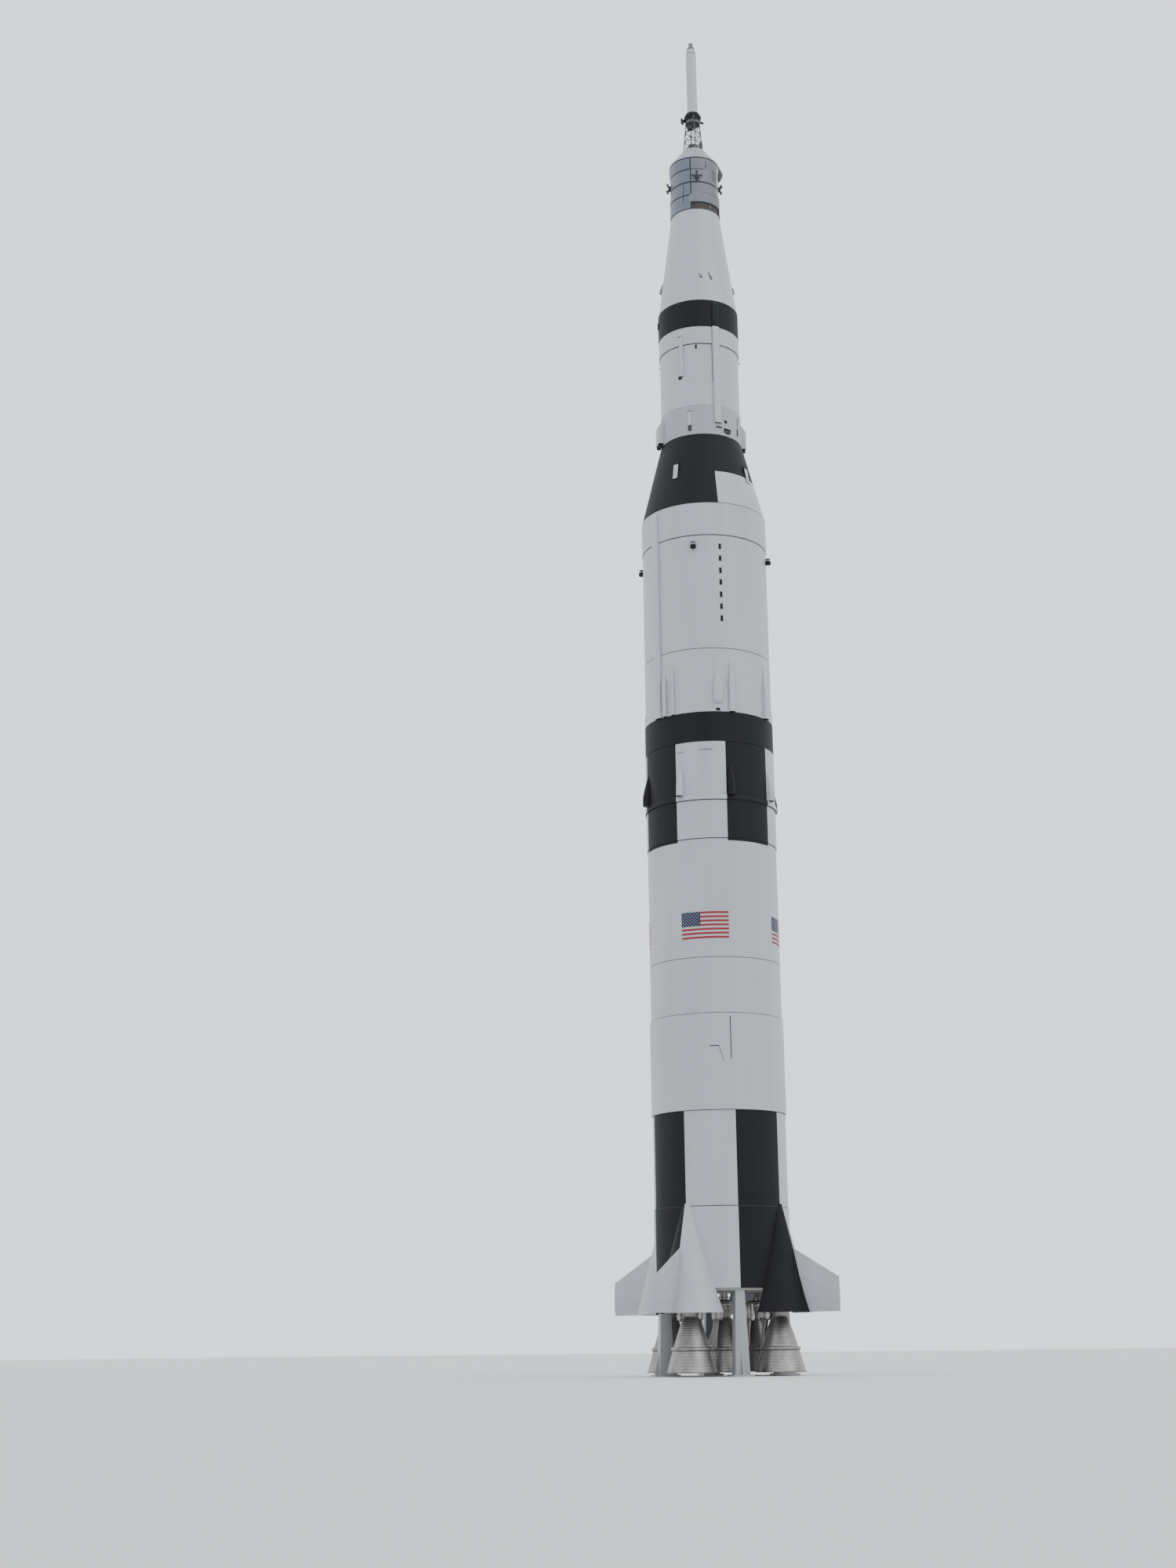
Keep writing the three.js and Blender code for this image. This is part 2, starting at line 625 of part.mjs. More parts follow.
function supportPost() {
  const { radius, plateWide, plateDeep, plateThick, footSize, headSize } = POST;
  const y = -mm(radius);
  const top = height(SHIELD_STATION) - SEAM;
  const square = (size, z) =>
    [[-1, -1], [1, -1], [1, 1], [-1, 1]].map(([a, b]) => [(a * size) / 2, y + (b * size) / 2, z]);
  const column = loft([square(footSize, plateThick / 2), square(headSize, top)]);
  const plate = box(plateWide, plateDeep, plateThick, 0, y, plateThick / 2);
  const gussets = [-1, 1].map((side) =>
    loft([
      [[-6, y + side * 88, plateThick / 2], [6, y + side * 88, plateThick / 2], [6, y, plateThick / 2], [-6, y, plateThick / 2]],
      [[-6, y + side * 32, 250], [6, y + side * 32, 250], [6, y, 250], [-6, y, 250]],
    ].map((ring) => (side < 0 ? ring : ring.reverse()))),
  );
  return join([plate, column, ...gussets]);
}
QUARTERS.forEach((angle, i) => piece(`support_post_${i + 1}`, turned(supportPost(), angle + 45), STEEL));

export default rocket;
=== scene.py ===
import json
import math

import bpy
import numpy as np
from mathutils import Matrix, Vector


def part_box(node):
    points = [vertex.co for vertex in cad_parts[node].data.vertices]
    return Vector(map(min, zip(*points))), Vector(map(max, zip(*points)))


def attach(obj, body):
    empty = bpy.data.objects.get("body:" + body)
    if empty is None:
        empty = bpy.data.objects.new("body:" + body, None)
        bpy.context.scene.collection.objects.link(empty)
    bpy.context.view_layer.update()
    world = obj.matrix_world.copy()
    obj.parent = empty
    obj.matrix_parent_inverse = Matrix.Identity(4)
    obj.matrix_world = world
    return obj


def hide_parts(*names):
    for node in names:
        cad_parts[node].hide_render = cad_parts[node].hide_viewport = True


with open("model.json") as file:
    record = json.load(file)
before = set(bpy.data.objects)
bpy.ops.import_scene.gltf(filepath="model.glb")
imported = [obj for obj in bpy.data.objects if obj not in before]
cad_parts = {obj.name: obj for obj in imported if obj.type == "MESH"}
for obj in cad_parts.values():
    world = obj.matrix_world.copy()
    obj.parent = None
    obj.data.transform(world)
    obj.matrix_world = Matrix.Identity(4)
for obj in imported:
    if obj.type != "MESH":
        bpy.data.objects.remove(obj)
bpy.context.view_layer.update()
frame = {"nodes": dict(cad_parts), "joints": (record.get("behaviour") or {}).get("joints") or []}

# Camera, floor and light. The camera stands low in front of the rocket, to the right of the first fin, and looks up
# at it. The floor and the sky are plain and pale, and two broad suns stand in for large soft lamps.
AZIMUTH, PITCH, YAW, ROLL = (math.radians(degrees) for degrees in (30.8, 14.982, 3.416, -0.633))
CAMERA_DISTANCE, CAMERA_HEIGHT = 16.074, 0.19
FLOOR_REACH = 90
back = Vector((-math.sin(AZIMUTH), math.cos(AZIMUTH), 0))
side = Vector((math.cos(AZIMUTH), math.sin(AZIMUTH), 0))
level = back * math.cos(YAW) - side * math.sin(YAW)
across = side * math.cos(YAW) + back * math.sin(YAW)
forward = level * math.cos(PITCH) + Vector((0, 0, math.sin(PITCH)))
upright = across.cross(forward)
right = across * math.cos(ROLL) + upright * math.sin(ROLL)
up = upright * math.cos(ROLL) - across * math.sin(ROLL)
lens = bpy.data.cameras.new("camera")
lens.lens = 48.6
lens.clip_end = 400
camera = bpy.data.objects.new("camera", lens)
turn = Matrix((right, up, -forward)).transposed().to_4x4()
camera.matrix_world = Matrix.Translation((-back * CAMERA_DISTANCE) + Vector((0, 0, CAMERA_HEIGHT))) @ turn
bpy.context.scene.collection.objects.link(camera)
bpy.context.scene.camera = camera

floor_mesh = bpy.data.meshes.new("floor")
corners = [(x * FLOOR_REACH, y * FLOOR_REACH, 0) for x, y in ((-1, -1), (1, -1), (1, 1), (-1, 1))]
floor_mesh.from_pydata(corners, [], [(0, 1, 2, 3)])
floor = bpy.data.objects.new("floor", floor_mesh)
bpy.context.scene.collection.objects.link(floor)
floor_coat = bpy.data.materials.new("floor")
floor_coat.use_nodes = True
floor_shader = floor_coat.node_tree.nodes["Principled BSDF"]
floor_shader.inputs["Base Color"].default_value = (0.62, 0.62, 0.61, 1)
floor_shader.inputs["Roughness"].default_value = 0.9
floor_mesh.materials.append(floor_coat)

sky = bpy.data.worlds.new("sky")
sky.use_nodes = True
sky.node_tree.nodes["Background"].inputs["Color"].default_value = (0.86, 0.9, 0.95, 1)
sky.node_tree.nodes["Background"].inputs["Strength"].default_value = 1.75
bpy.context.scene.world = sky
LAMPS = [
    # name, strength, angle of spread, pitch and heading in degrees
    ("key", 0.6, 35, 52, 80),
    ("fill", 0.15, 60, 65, -60),
]
for name, strength, spread, pitch, heading in LAMPS:
    lamp = bpy.data.lights.new(name, "SUN")
    lamp.energy = strength
    lamp.angle = math.radians(spread)
    sun = bpy.data.objects.new(name, lamp)
    sun.rotation_euler = (math.radians(pitch), 0, math.radians(heading))
    bpy.context.scene.collection.objects.link(sun)

# The stages' skins: drums and cones of aluminium sheet, one for each tank and skirt, painted white and black and
# bolted edge to edge, with a rounded foot edge and a groove under the top edge, whose near-black is painted shadow
# under the joint. Each takes its size from its CAD solid, and the paint is faces.
INCH = 0.00254  # a full-size inch in metres, at one tenth
COLUMNS = 360  # faces around a skin, so that each is one degree wide
SHARP = math.radians(32)  # edges that turn by more than this stay sharp
WHITE, BLACK, SEAM_AND_SHADE, BY_SCHEME = 0, 1, 2, -1


def coat(name, color, roughness, metallic=0.0, soil=0.08, stretch=(5, 5, 0.6)):
    """A paint or metal. Soft noise, drawn out along the body, darkens its colour by up to soil. A finer noise varies
    the roughness by -0.05 to 0.07 and ripples the surface."""
    made = bpy.data.materials.new(name)
    made.use_nodes = True
    nodes, links = made.node_tree.nodes, made.node_tree.links
    shader = nodes["Principled BSDF"]
    shader.inputs["Metallic"].default_value = metallic
    place = nodes.new("ShaderNodeTexCoord")
    drawn = nodes.new("ShaderNodeMapping")
    drawn.inputs["Scale"].default_value = stretch
    streaks = nodes.new("ShaderNodeTexNoise")
    streaks.inputs["Scale"].default_value = 1.6
    streaks.inputs["Detail"].default_value = 7
    ramp = nodes.new("ShaderNodeValToRGB")
    ramp.color_ramp.elements[0].position = 0.3
    ramp.color_ramp.elements[0].color = (*[c * (1 - soil) for c in color], 1)
    ramp.color_ramp.elements[1].position = 0.62
    ramp.color_ramp.elements[1].color = (*color, 1)
    fine = nodes.new("ShaderNodeTexNoise")
    fine.inputs["Scale"].default_value = 40
    spread = nodes.new("ShaderNodeMapRange")
    spread.inputs["To Min"].default_value = roughness - 0.05
    spread.inputs["To Max"].default_value = roughness + 0.07
    ripple = nodes.new("ShaderNodeBump")
    ripple.inputs["Strength"].default_value = 0.05
    ripple.inputs["Distance"].default_value = 0.002
    links.new(place.outputs["Object"], drawn.inputs["Vector"])
    links.new(drawn.outputs["Vector"], streaks.inputs["Vector"])
    links.new(streaks.outputs["Fac"], ramp.inputs["Fac"])
    links.new(ramp.outputs["Color"], shader.inputs["Base Color"])
    links.new(place.outputs["Object"], fine.inputs["Vector"])
    links.new(fine.outputs["Fac"], spread.inputs["Value"])
    links.new(spread.outputs["Result"], shader.inputs["Roughness"])
    links.new(fine.outputs["Fac"], ripple.inputs["Height"])
    links.new(ripple.outputs["Normal"], shader.inputs["Normal"])
    return made


# White paint, coloured a light blue-grey well below true white: painted shade.
white = coat("white_paint", (0.38, 0.395, 0.425), 0.42)
# Greyer than the white paint: a tone of the paint on the third stage's aft skirt, and painted shade on the crew cone.
dull_white_and_shade = coat("dull_white_paint_and_painted_shade", (0.3, 0.305, 0.33), 0.5)
black = coat("black_paint", (0.006, 0.006, 0.007), 0.6, soil=0.25)
black.node_tree.nodes["Principled BSDF"].inputs["Specular IOR Level"].default_value = 0.2
# Near-black for seams and dark lines, and painted shadow and shade in grooves under joints and in covers' open feet.
seam_and_shade = coat("dark_seam_and_painted_shade", (0.025, 0.026, 0.03), 0.7)
PAINTS = [white, black, seam_and_shade]
TANK_FOOT = 345  # the station of the fuel tank's foot


def height(station):
    """Height in metres of a station, which counts full-size inches: the fuel tank's foot + inch (station - 345)."""
    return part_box("first_fuel_tank")[0].z + (station - TANK_FOOT) * INCH


def scheme(points):
    """The paint at each point: 1 for black, 0 for white. Black are the rings and the cone, and every second eighth of
    the body, from 45 degrees on, on the interstage and below the intertank."""
    x, y, z = points.T
    station = TANK_FOOT + (z - height(TANK_FOOT)) / INCH
    degrees = np.degrees(np.arctan2(x, -y)) % 360
    eighth = degrees % 90 >= 45
    low_panel = (station < 2607) & (degrees % 180 >= 45) & (degrees % 180 < 135)
    return (
        ((station < 616) & eighth)
        | ((station > 1411) & (station < 1717.5) & eighth)
        | ((station > 1717.5) & (station < 1811))
        | ((station > 2490) & (station < 2750) & ~low_panel)
        | ((station > 3124) & (station < 3218))
    ).astype(int)


def grid(points, slots=BY_SCHEME, caps=(None, None)):
    """A surface through closed rows of points, from the foot up, that faces outward where each row runs anticlockwise
    seen from above. Each of caps closes an end with one flat face of that slot, and None leaves it open."""
    rows, columns = points.shape[:2]
    index = np.arange(rows * columns).reshape(rows, columns)
    closed = np.hstack([index, index[:, :1]])
    quads = np.stack([closed[:-1, :-1], closed[:-1, 1:], closed[1:, 1:], closed[1:, :-1]], -1).reshape(-1, 4)
    blocks = [(quads, np.broadcast_to(slots, (rows - 1, columns)).ravel())]
    if caps[0] is not None:
        blocks.append((index[:1, ::-1], caps[0]))
    if caps[1] is not None:
        blocks.append((index[-1:], caps[1]))
    return points.reshape(-1, 3), blocks


def drum(rows, slots=BY_SCHEME, caps=(BY_SCHEME, BY_SCHEME), columns=COLUMNS, centre=(0, 0)):
    """Rows of (radius r_i, height z_i) swept round an upright axis: point (i, j) is (r_i sin a_j, -r_i cos a_j, z_i),
    with a_j = 2 pi j / columns."""
    radius, z = np.array(rows, float).T
    angle = np.arange(columns) * 2 * np.pi / columns
    x = np.outer(radius, np.sin(angle)) + centre[0]
    y = -np.outer(radius, np.cos(angle)) + centre[1]
    return grid(np.stack([x, y, np.repeat(z[:, None], columns, 1)], -1), slots, caps)


def build(name, parts, finishes=PAINTS, stands_for=(), body="stack"):
    """One object made of parts, each (points, [(faces, slots), ...]). Faces whose slot is BY_SCHEME take the paint at
    their middle. It rides on body and stands for the named CAD solids."""
    faces, slots, start = [], [], 0
    for points, blocks in parts:
        for block, given in blocks:
            given = np.broadcast_to(given, len(block))
            slots.append(np.where(given == BY_SCHEME, scheme(points[block].mean(1)), given))
            faces += (block + start).tolist()
        start += len(points)
    data = bpy.data.meshes.new(name)
    data.from_pydata(np.concatenate([points for points, blocks in parts]).tolist(), [], faces)
    for finish in finishes:
        data.materials.append(finish)
    data.polygons.foreach_set("material_index", np.concatenate(slots).astype(np.int32))
    data.polygons.foreach_set("use_smooth", np.ones(len(faces), bool))
    data.set_sharp_from_angle(angle=SHARP)
    made = bpy.data.objects.new(name, data)
    bpy.context.scene.collection.objects.link(made)
    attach(made, body)
    if stands_for:
        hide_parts(*stands_for)


def skin_rows(node, groove, top_radius, breaks):
    """Rows of a skin from its CAD solid's box: rounded foot edge, wall, and a groove of that height under the top
    edge. The wall's radius runs evenly from the foot's to the top's."""
    low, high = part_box(node)
    foot_radius = high.x
    top_radius = top_radius or foot_radius
    edge, sunk = 0.0012, 0.003
    slope = (top_radius - foot_radius) / (high.z - low.z)
    wall = [(foot_radius + slope * (z - low.z), z) for z in breaks]
    rows = [(foot_radius - edge, low.z), (foot_radius, low.z + edge), *wall]
    brim = top_radius - slope * groove
    return [*rows, (brim, high.z - groove), (brim - sunk, high.z - groove * 0.9), (top_radius - sunk, high.z)]


SKINS = [
    # node, height of the groove, top radius in inches where it tapers, stations where the paint changes
    ("first_fuel_tank", 0.004, None, ()),
    ("first_intertank", 0.004, None, ()),
    ("first_oxidizer_tank_lower", 0.004, None, ()),
    ("first_oxidizer_tank_upper", 0.005, None, (1411,)),
    ("first_forward_skirt", 0.005, None, ()),
    ("second_aft_skirt", 0.003, None, ()),
    ("second_tank_lower", 0.005, None, ()),
    ("second_tank_upper", 0.007, None, ()),
    ("second_forward_skirt", 0.006, None, ()),
    ("third_aft_skirt", 0.003, None, ()),
    ("third_tank", 0.007, None, ()),
    ("third_forward_skirt", 0.003, None, ()),
    ("instrument_ring", 0.003, None, ()),
    ("adapter_cone", 0.005, 80, (3300, 3400, 3500)),
]
for node, groove, top_radius, breaks in SKINS:
    rows = skin_rows(node, groove, top_radius and top_radius * INCH, [height(station) for station in breaks])
    slots = np.full((len(rows) - 1, 1), BY_SCHEME)
    all_black = node in ("second_aft_skirt", "instrument_ring")
    # The groove's two rows take the near-black as painted shadow under the joint.
    if not all_black:
        slots[-2:] = SEAM_AND_SHADE
    finishes = [dull_white_and_shade, black, seam_and_shade] if node == "third_aft_skirt" else PAINTS
    slot = "black_paint" if all_black else "white_paint"
    build(node + "_skin", [drum(rows, slots)], finishes, [node])


# The cone between the second and third stages: aluminium sheet painted black, with a white panel low on two sides and
# four wedge-shaped motor fairings of pressed sheet, fixed on it, whose upright faces are white.
def around(points, angle):
    """Points made on the -Y side, turned round the rocket's axis by angle degrees: x becomes x cos a - y sin a, and y
    becomes x sin a + y cos a."""
    cosine, sine = math.cos(math.radians(angle)), math.sin(math.radians(angle))
    return np.array(points, float) @ np.array([[cosine, sine, 0], [-sine, cosine, 0], [0, 0, 1]])


def moved(part, angle):
    """A part whose points are turned round the axis, as by around."""
    points, blocks = part
    return around(points, angle), blocks


# A cover's foot cap is near-black by default, as painted shade of its open foot.
def cover(angle, rows, power=2.0, wall=0.35, slots=BY_SCHEME, caps=(SEAM_AND_SHADE, BY_SCHEME), sunk=4, steps=16):
    """A cover that stands on a skin. Each row is (station, half width w, skin radius r, height h) in inches. Across
    it, x = -w cos t and the crest is at r + h (wall + (1 - wall) (1 - |cos t|^power)^(1/power)), with t from 0 to pi.
    Both sides go down into the skin by sunk."""
    station, w, r, h = np.array(rows, float).T[:, :, None]
    t = np.linspace(0, np.pi, steps)
    crest = r + h * (wall + (1 - wall) * (1 - np.abs(np.cos(t)) ** power) ** (1 / power))
    x = np.hstack([-w, -w * np.cos(t), w])
    y = -np.hstack([r - sunk, crest, r - sunk])
    z = height(0) + station * INCH + 0 * x
    return grid(around(np.stack([x * INCH, y * INCH, z], -1), angle), slots, caps)


def drawn_in(foot, heel, shoulder, tip, half_width, proud, radius, ease=1):
    """Rows of a cover that is full from its heel to its shoulder and sinks to its tip in a soft curve. Its half width
    there is w (1 - 0.75 s^ease), with s from 0 to 1. Its foot is flat, or where the heel is higher it swells up to
    the heel as a quarter ellipse."""
    along = np.linspace(0, 1, 9)
    swell = np.sin(np.linspace(0, np.pi / 2, 7)[:-1] if heel > foot else np.array([np.pi / 2]))
    rising = foot + (heel - foot) * (1 - np.sqrt(1 - swell**2))
    station = np.append(rising, shoulder + (tip - shoulder) * along)
    width = half_width * np.append(0.4 + 0.6 * swell, 1 - 0.75 * along**ease)
    out = np.append(0.5 + (proud - 0.5) * swell, proud + (0.5 - proud) * along**1.3)
    return np.stack([station, width, np.full_like(station, radius), out], 1)


cone = drum(skin_rows("conical_interstage", 0.004, 129.9 * INCH, [height(2607)]))
wedge = [(2591, 7.5, 170.4, 1.6), (2592, 8, 170.1, 2), (2641, 8, 157.6, 6.6), (2644, 7.6, 156.9, 6.4)]
wedge += [(2652, 7, 154.8, 0.4)]
wedge_slots = np.full((4, 18), BLACK)
wedge_slots[1, 1:16] = WHITE
retro = [cover(angle, wedge, 6, 0.75, wedge_slots, (BLACK, BLACK)) for angle in (1.2, 89, 180, 270)]
build("conical_skin", [cone, *retro], stands_for=["conical_interstage"])

# The interstage between the first two stages: a wall of painted sheet with a lip at its foot, where it is bolted
# down, and eight slender motor fairings of pressed sheet fixed around it.
BODY_RADIUS = 198  # the skin of the first two stages, in inches
low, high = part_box("interstage")
lip, wall = 201.5 * INCH, BODY_RADIUS * INCH
interstage = [
    (lip - 0.0015, low.z),
    (lip, low.z + 0.0015),
    (lip, height(1551)),
    (lip - 0.0015, height(1552)),
    (wall + 0.001, height(1552)),
    (wall, height(1552.5)),
    (wall, height(1717) - 0.005),
    (wall - 0.003, height(1717) - 0.0045),
    (wall - 0.003, high.z),
]
interstage_slots = np.full((8, 1), BY_SCHEME)
interstage_slots[4] = SEAM_AND_SHADE
settling = drawn_in(1552, 1552, 1575, 1650, 11, 19.5, BODY_RADIUS, 2.5)
fairings = [cover(4.2 + 45 * i, settling, 1.6) for i in range(8)]
build("interstage_skin", [drum(interstage, interstage_slots), *fairings], stands_for=["interstage"])

# The tunnels, feed-line fairings and cable cover on the second and third stages: slender covers of pressed sheet,
# screwed down along their sides, their open foot closed by a near-black cap that is painted shade. Each stands for
# its
# CAD solid. The long one on the third stage is black where it crosses the black ring.
COVERS = [
    # node, angle, foot, heel, shoulder and tip stations, half width, how far it stands out, skin radius
    ("second_systems_tunnel", -19.2, 1811.5, 1811.5, 2470, 2486, 14, 8, 197),
    ("feed_fairing_1", -11, 1811.5, 1811.5, 1920, 1945, 8, 9, 195.2),
    ("feed_fairing_2", -1.8, 1811.5, 1811.5, 1930, 1965, 5, 8, 195.2),
    ("feed_fairing_3", 40, 1836, 1856, 1890, 1945, 15, 10, 195.2),
    ("feed_fairing_4", 52.4, 1811.5, 1811.5, 1900, 1985, 10, 11, 195.2),
    ("feed_fairing_5", 93.5, 1811.5, 1811.5, 1880, 1985, 12.5, 12, 195.2),
    ("third_systems_tunnel", 56, 2790, 2790, 3205, 3214, 12, 6, 130),
    ("third_cable_cover", 5, 2955, 2955, 3086, 3096, 6, 3, 130),
]
for node, angle, foot, heel, shoulder, tip, half_width, proud, radius in COVERS:
    rows = drawn_in(foot, heel, shoulder, tip, half_width, proud, radius)
    if node == "third_systems_tunnel":
        rows = np.insert(rows, 1, [3124, half_width, radius, proud], 0)
    build(node + "_cover", [cover(angle, rows, 2.6, caps=(SEAM_AND_SHADE, BY_SCHEME))], stands_for=[node])


def plate(start, end, low, high, radius, proud, slot=WHITE):
    """A thin plate between two angles and two stations, on a skin of that radius in inches. Each row is the four
    corners of its section at one angle: outside and inside at the foot, then inside and outside at the top."""
    angle = np.radians(np.linspace(start, end, max(2, round(abs(end - start)) + 1)))[:, None]
    sunk = 0.5
    reach = np.array([radius + proud, radius - sunk, radius - sunk, radius + proud]) * INCH
    z = np.array([height(low), height(low), height(high), height(high)]) + 0 * angle
    return grid(np.stack([reach * np.sin(angle), -reach * np.cos(angle), z], -1), slot, (slot, slot))


# The two low plates beside those covers: white pressed sheet over the pipes at the foot of the second stage's lower
# tank, fixed flat on the skin.
build("foot_plates", [plate(-62, -24, 1811.5, 1850, 195.2, 2.6), plate(102, 140, 1811.5, 1852, 195.2, 2.6)])

# The thrust structure: the lowest drum of painted sheet, closed by a heat shield of pale panels with three ring
# beads, and under it the welded steel ears that the outer engines hang from.
shield = coat("heat_shield", (0.34, 0.33, 0.31), 0.7, soil=0.3, stretch=(4, 4, 4))
SHIELD, STEEL = 3, 4
ENGINE_CIRCLE = 182 * INCH
PIVOT = frame["joints"][0]["pos_m"][2]


def block(low, high, chamfer, slot):
    """An upright box between two corners, with its edges cut off by the chamfer."""
    rows = []
    for inset, cut, z in ((1, 0.4, low[2]), (0, 1, low[2] + chamfer), (0, 1, high[2] - chamfer), (1, 0.4, high[2])):
        (x0, y0), (x1, y1) = (np.array(low[:2]) + inset * chamfer, np.array(high[:2]) - inset * chamfer)
        c = cut * chamfer
        rows.append([(x0 + c, y0, z), (x1 - c, y0, z), (x1, y0 + c, z), (x1, y1 - c, z)])
        rows[-1] += [(x1 - c, y1, z), (x0 + c, y1, z), (x0, y1 - c, z), (x0, y0 + c, z)]
    return grid(np.array(rows), slot, (slot, slot))


low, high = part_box("thrust_structure")
rim, wall = 192 * INCH, BODY_RADIUS * INCH
drum_rows = [
    (rim - 0.002, height(110)),
    (rim, height(110) + 0.002),
    (rim, height(116)),
    (wall - 0.0015, height(116)),
    (wall, height(116) + 0.0015),
    (wall, high.z - 0.005),
    (wall - 0.003, high.z - 0.0045),
    (wall - 0.003, high.z),
]
drum_slots = np.full((7, 1), BY_SCHEME)
drum_slots[:2] = SHIELD
drum_slots[5:] = SEAM_AND_SHADE
shield_ring = ((-0.004, 0.001), (-0.003, -0.0025), (0.003, -0.0025), (0.004, 0.001))
shield_rings = [
    drum([(r * INCH + out, height(110) + rise) for out, rise in shield_ring], SHIELD, (SHIELD, SHIELD), 120)
    for r in (60, 120, 186)
]
hangers = []
for quarter in range(4):
    centre = around([(0, -ENGINE_CIRCLE, 0)], 90 * quarter)[0, :2]
    for out in (-18, 18):
        corner = (-0.009, out / 1000 - 0.004, low.z)
        ear = block(corner, (0.009, out / 1000 + 0.004, height(110) + 0.002), 0.0012, STEEL)
        hangers.append((ear[0] + (*centre, 0), ear[1]))
steel = coat("gimbal_steel", (0.4, 0.4, 0.41), 0.38, 0.85, soil=0.25, stretch=(12, 12, 12))
build(
    "thrust_drum",
    [drum(drum_rows, drum_slots, (SHIELD, SEAM_AND_SHADE)), *shield_rings, *hangers],
    [*PAINTS, shield, steel],
    ["thrust_structure"],
)

# The engine fairings: half-cones of painted sheet that swell from the skin down to an open foot, as shells, half
# white and half black. The fins fixed on them are flat plates with sharp edges, so their CAD solids stay and take the
# paint.
def fairing_outline(station, centre, radius, depth):
    """One row of a half-cone: up one side wall from the skin, round the half-circle (-R cos t, C + R sin t) and down
    the other wall."""
    t = np.linspace(0, np.pi, 61)
    x = np.concatenate([[-radius], -radius * np.cos(t), [radius]])
    y = np.concatenate([[0], centre + radius * np.sin(t), [0]])
    y[[0, -1]] = np.sqrt(BODY_RADIUS**2 - min(radius, 190) ** 2) - depth
    return np.stack([x * INCH, -y * INCH, np.full_like(x, height(station))], -1)


outside, inside = [], []
for station in np.linspace(48.5, 352, 24):
    swell = (352 - station) / 303.5
    outside.append(fairing_outline(station, 189 - 7 * swell, 13 + 87 * swell, 1.5))
    inner = max(1 - 1.12 * (1 - swell), 0.02)
    inside.append(fairing_outline(station, 188 - 6 * swell - 6 * (1 - inner), 5 + 91.5 * inner, 1.4)[::-1])
shell = np.concatenate([np.array(outside), np.array(inside)], 1)
half = shell.shape[1] // 2
points, blocks = grid(shell)
for row, flip in ((0, 1), (23, -1)):
    first = row * 2 * half + np.arange(half - 1)
    second = row * 2 * half + 2 * half - 1 - np.arange(half - 1)
    blocks.append((np.stack([first, second, second - 1, first + 1], 1)[:, ::flip], BY_SCHEME))
for i in range(4):
    build(f"fairing_shell_{i + 1}", [(around(points, 90 * i), blocks)], stands_for=[f"engine_fairing_{i + 1}"])


def bare(node, finish, round_edges):
    """Keeps a CAD solid, gives it a finish and rounds its sharp edges by a bevel that many metres wide."""
    made = frame["nodes"][node]
    made.data.materials.clear()
    made.data.materials.append(finish)
    bevel = made.modifiers.new("rounded edges", "BEVEL")
    bevel.width = round_edges
    bevel.segments = 2
    bevel.angle_limit = math.radians(40)


for i in range(1, 5):
    bare(f"fin_{i}", white, 0.0008)


# The five main engines: a long bell of brazed metal tubes with hoops around it and shingles below the exhaust
# manifold, a dome, a turbopump with its duct down to the manifold, and two feed ducts over to the dome. The centre
# one is fixed on a post, and the outer four swing on steel crosses, on their own bodies.
metal = coat("engine_metal", (0.3, 0.285, 0.27), 0.42, 0.9, soil=0.4, stretch=(9, 9, 3))
soot = coat("sooty_metal", (0.07, 0.065, 0.06), 0.6, 0.6, soil=0.4, stretch=(9, 9, 3))
bright = coat("bright_steel", (0.5, 0.49, 0.47), 0.3, 0.95, soil=0.25, stretch=(9, 9, 9))
METAL, SOOT, BRIGHT = 0, 1, 2


def tube(path, radius, sides=16, slot=0, caps=(0, 0)):
    """A round bar: at each point p of the path stands a ring p + r (u cos a + v sin a), with u and v square to each
    other and to the path."""
    path = np.array(path, float)
    along = np.gradient(path, axis=0)
    along /= np.linalg.norm(along, axis=1)[:, None]
    reference = (0, 0, 1) if abs(along[:, 2]).max() < 0.9 else (0.6, 0.8, 0)
    u = np.cross(reference, along)
    u /= np.linalg.norm(u, axis=1)[:, None]
    v = np.cross(along, u)
    a = np.arange(sides) * 2 * np.pi / sides
    ring = np.cos(a)[None, :, None] * u[:, None] + np.sin(a)[None, :, None] * v[:, None]
    radius = np.broadcast_to(radius, len(path))[:, None, None]
    return grid(path[:, None] + radius * ring, slot, caps)


def curve(points, steps=24):
    """Points along a smooth path that starts and ends at the outer points and leans towards those between. Each is
    the sum over k of C(n, k) t^k (1 - t)^(n - k) P_k, with t from 0 to 1."""
    points, t = np.array(points, float), np.linspace(0, 1, steps)[:, None]
    order = len(points) - 1
    return sum(math.comb(order, k) * t**k * (1 - t) ** (order - k) * points[k] for k in range(order + 1))


def bell_radius(station):
    """The outer radius in inches, which grows from the throat's 19.5 at station 40 to 72 at the mouth."""
    return 19.5 + 52.5 * np.clip((40 - station) / 155.35, 0, 1) ** 0.82


def scaled(rows):
    """Rows of (radius in inches, station) as (radius, height) in metres."""
    return [(radius * INCH, height(station)) for radius, station in rows]


def hoops(stations, half, proud):
    """Rows that climb a bell's outside with a raised band at each station."""
    rows = []
    for station in stations:
        rows += [(bell_radius(station - half) + out, station + at) for at, out in ((-half, 0), (-half * 0.7, proud))]
        rows += [(bell_radius(station + half) + out, station + at) for at, out in ((half * 0.7, proud), (half, 0))]
    return rows


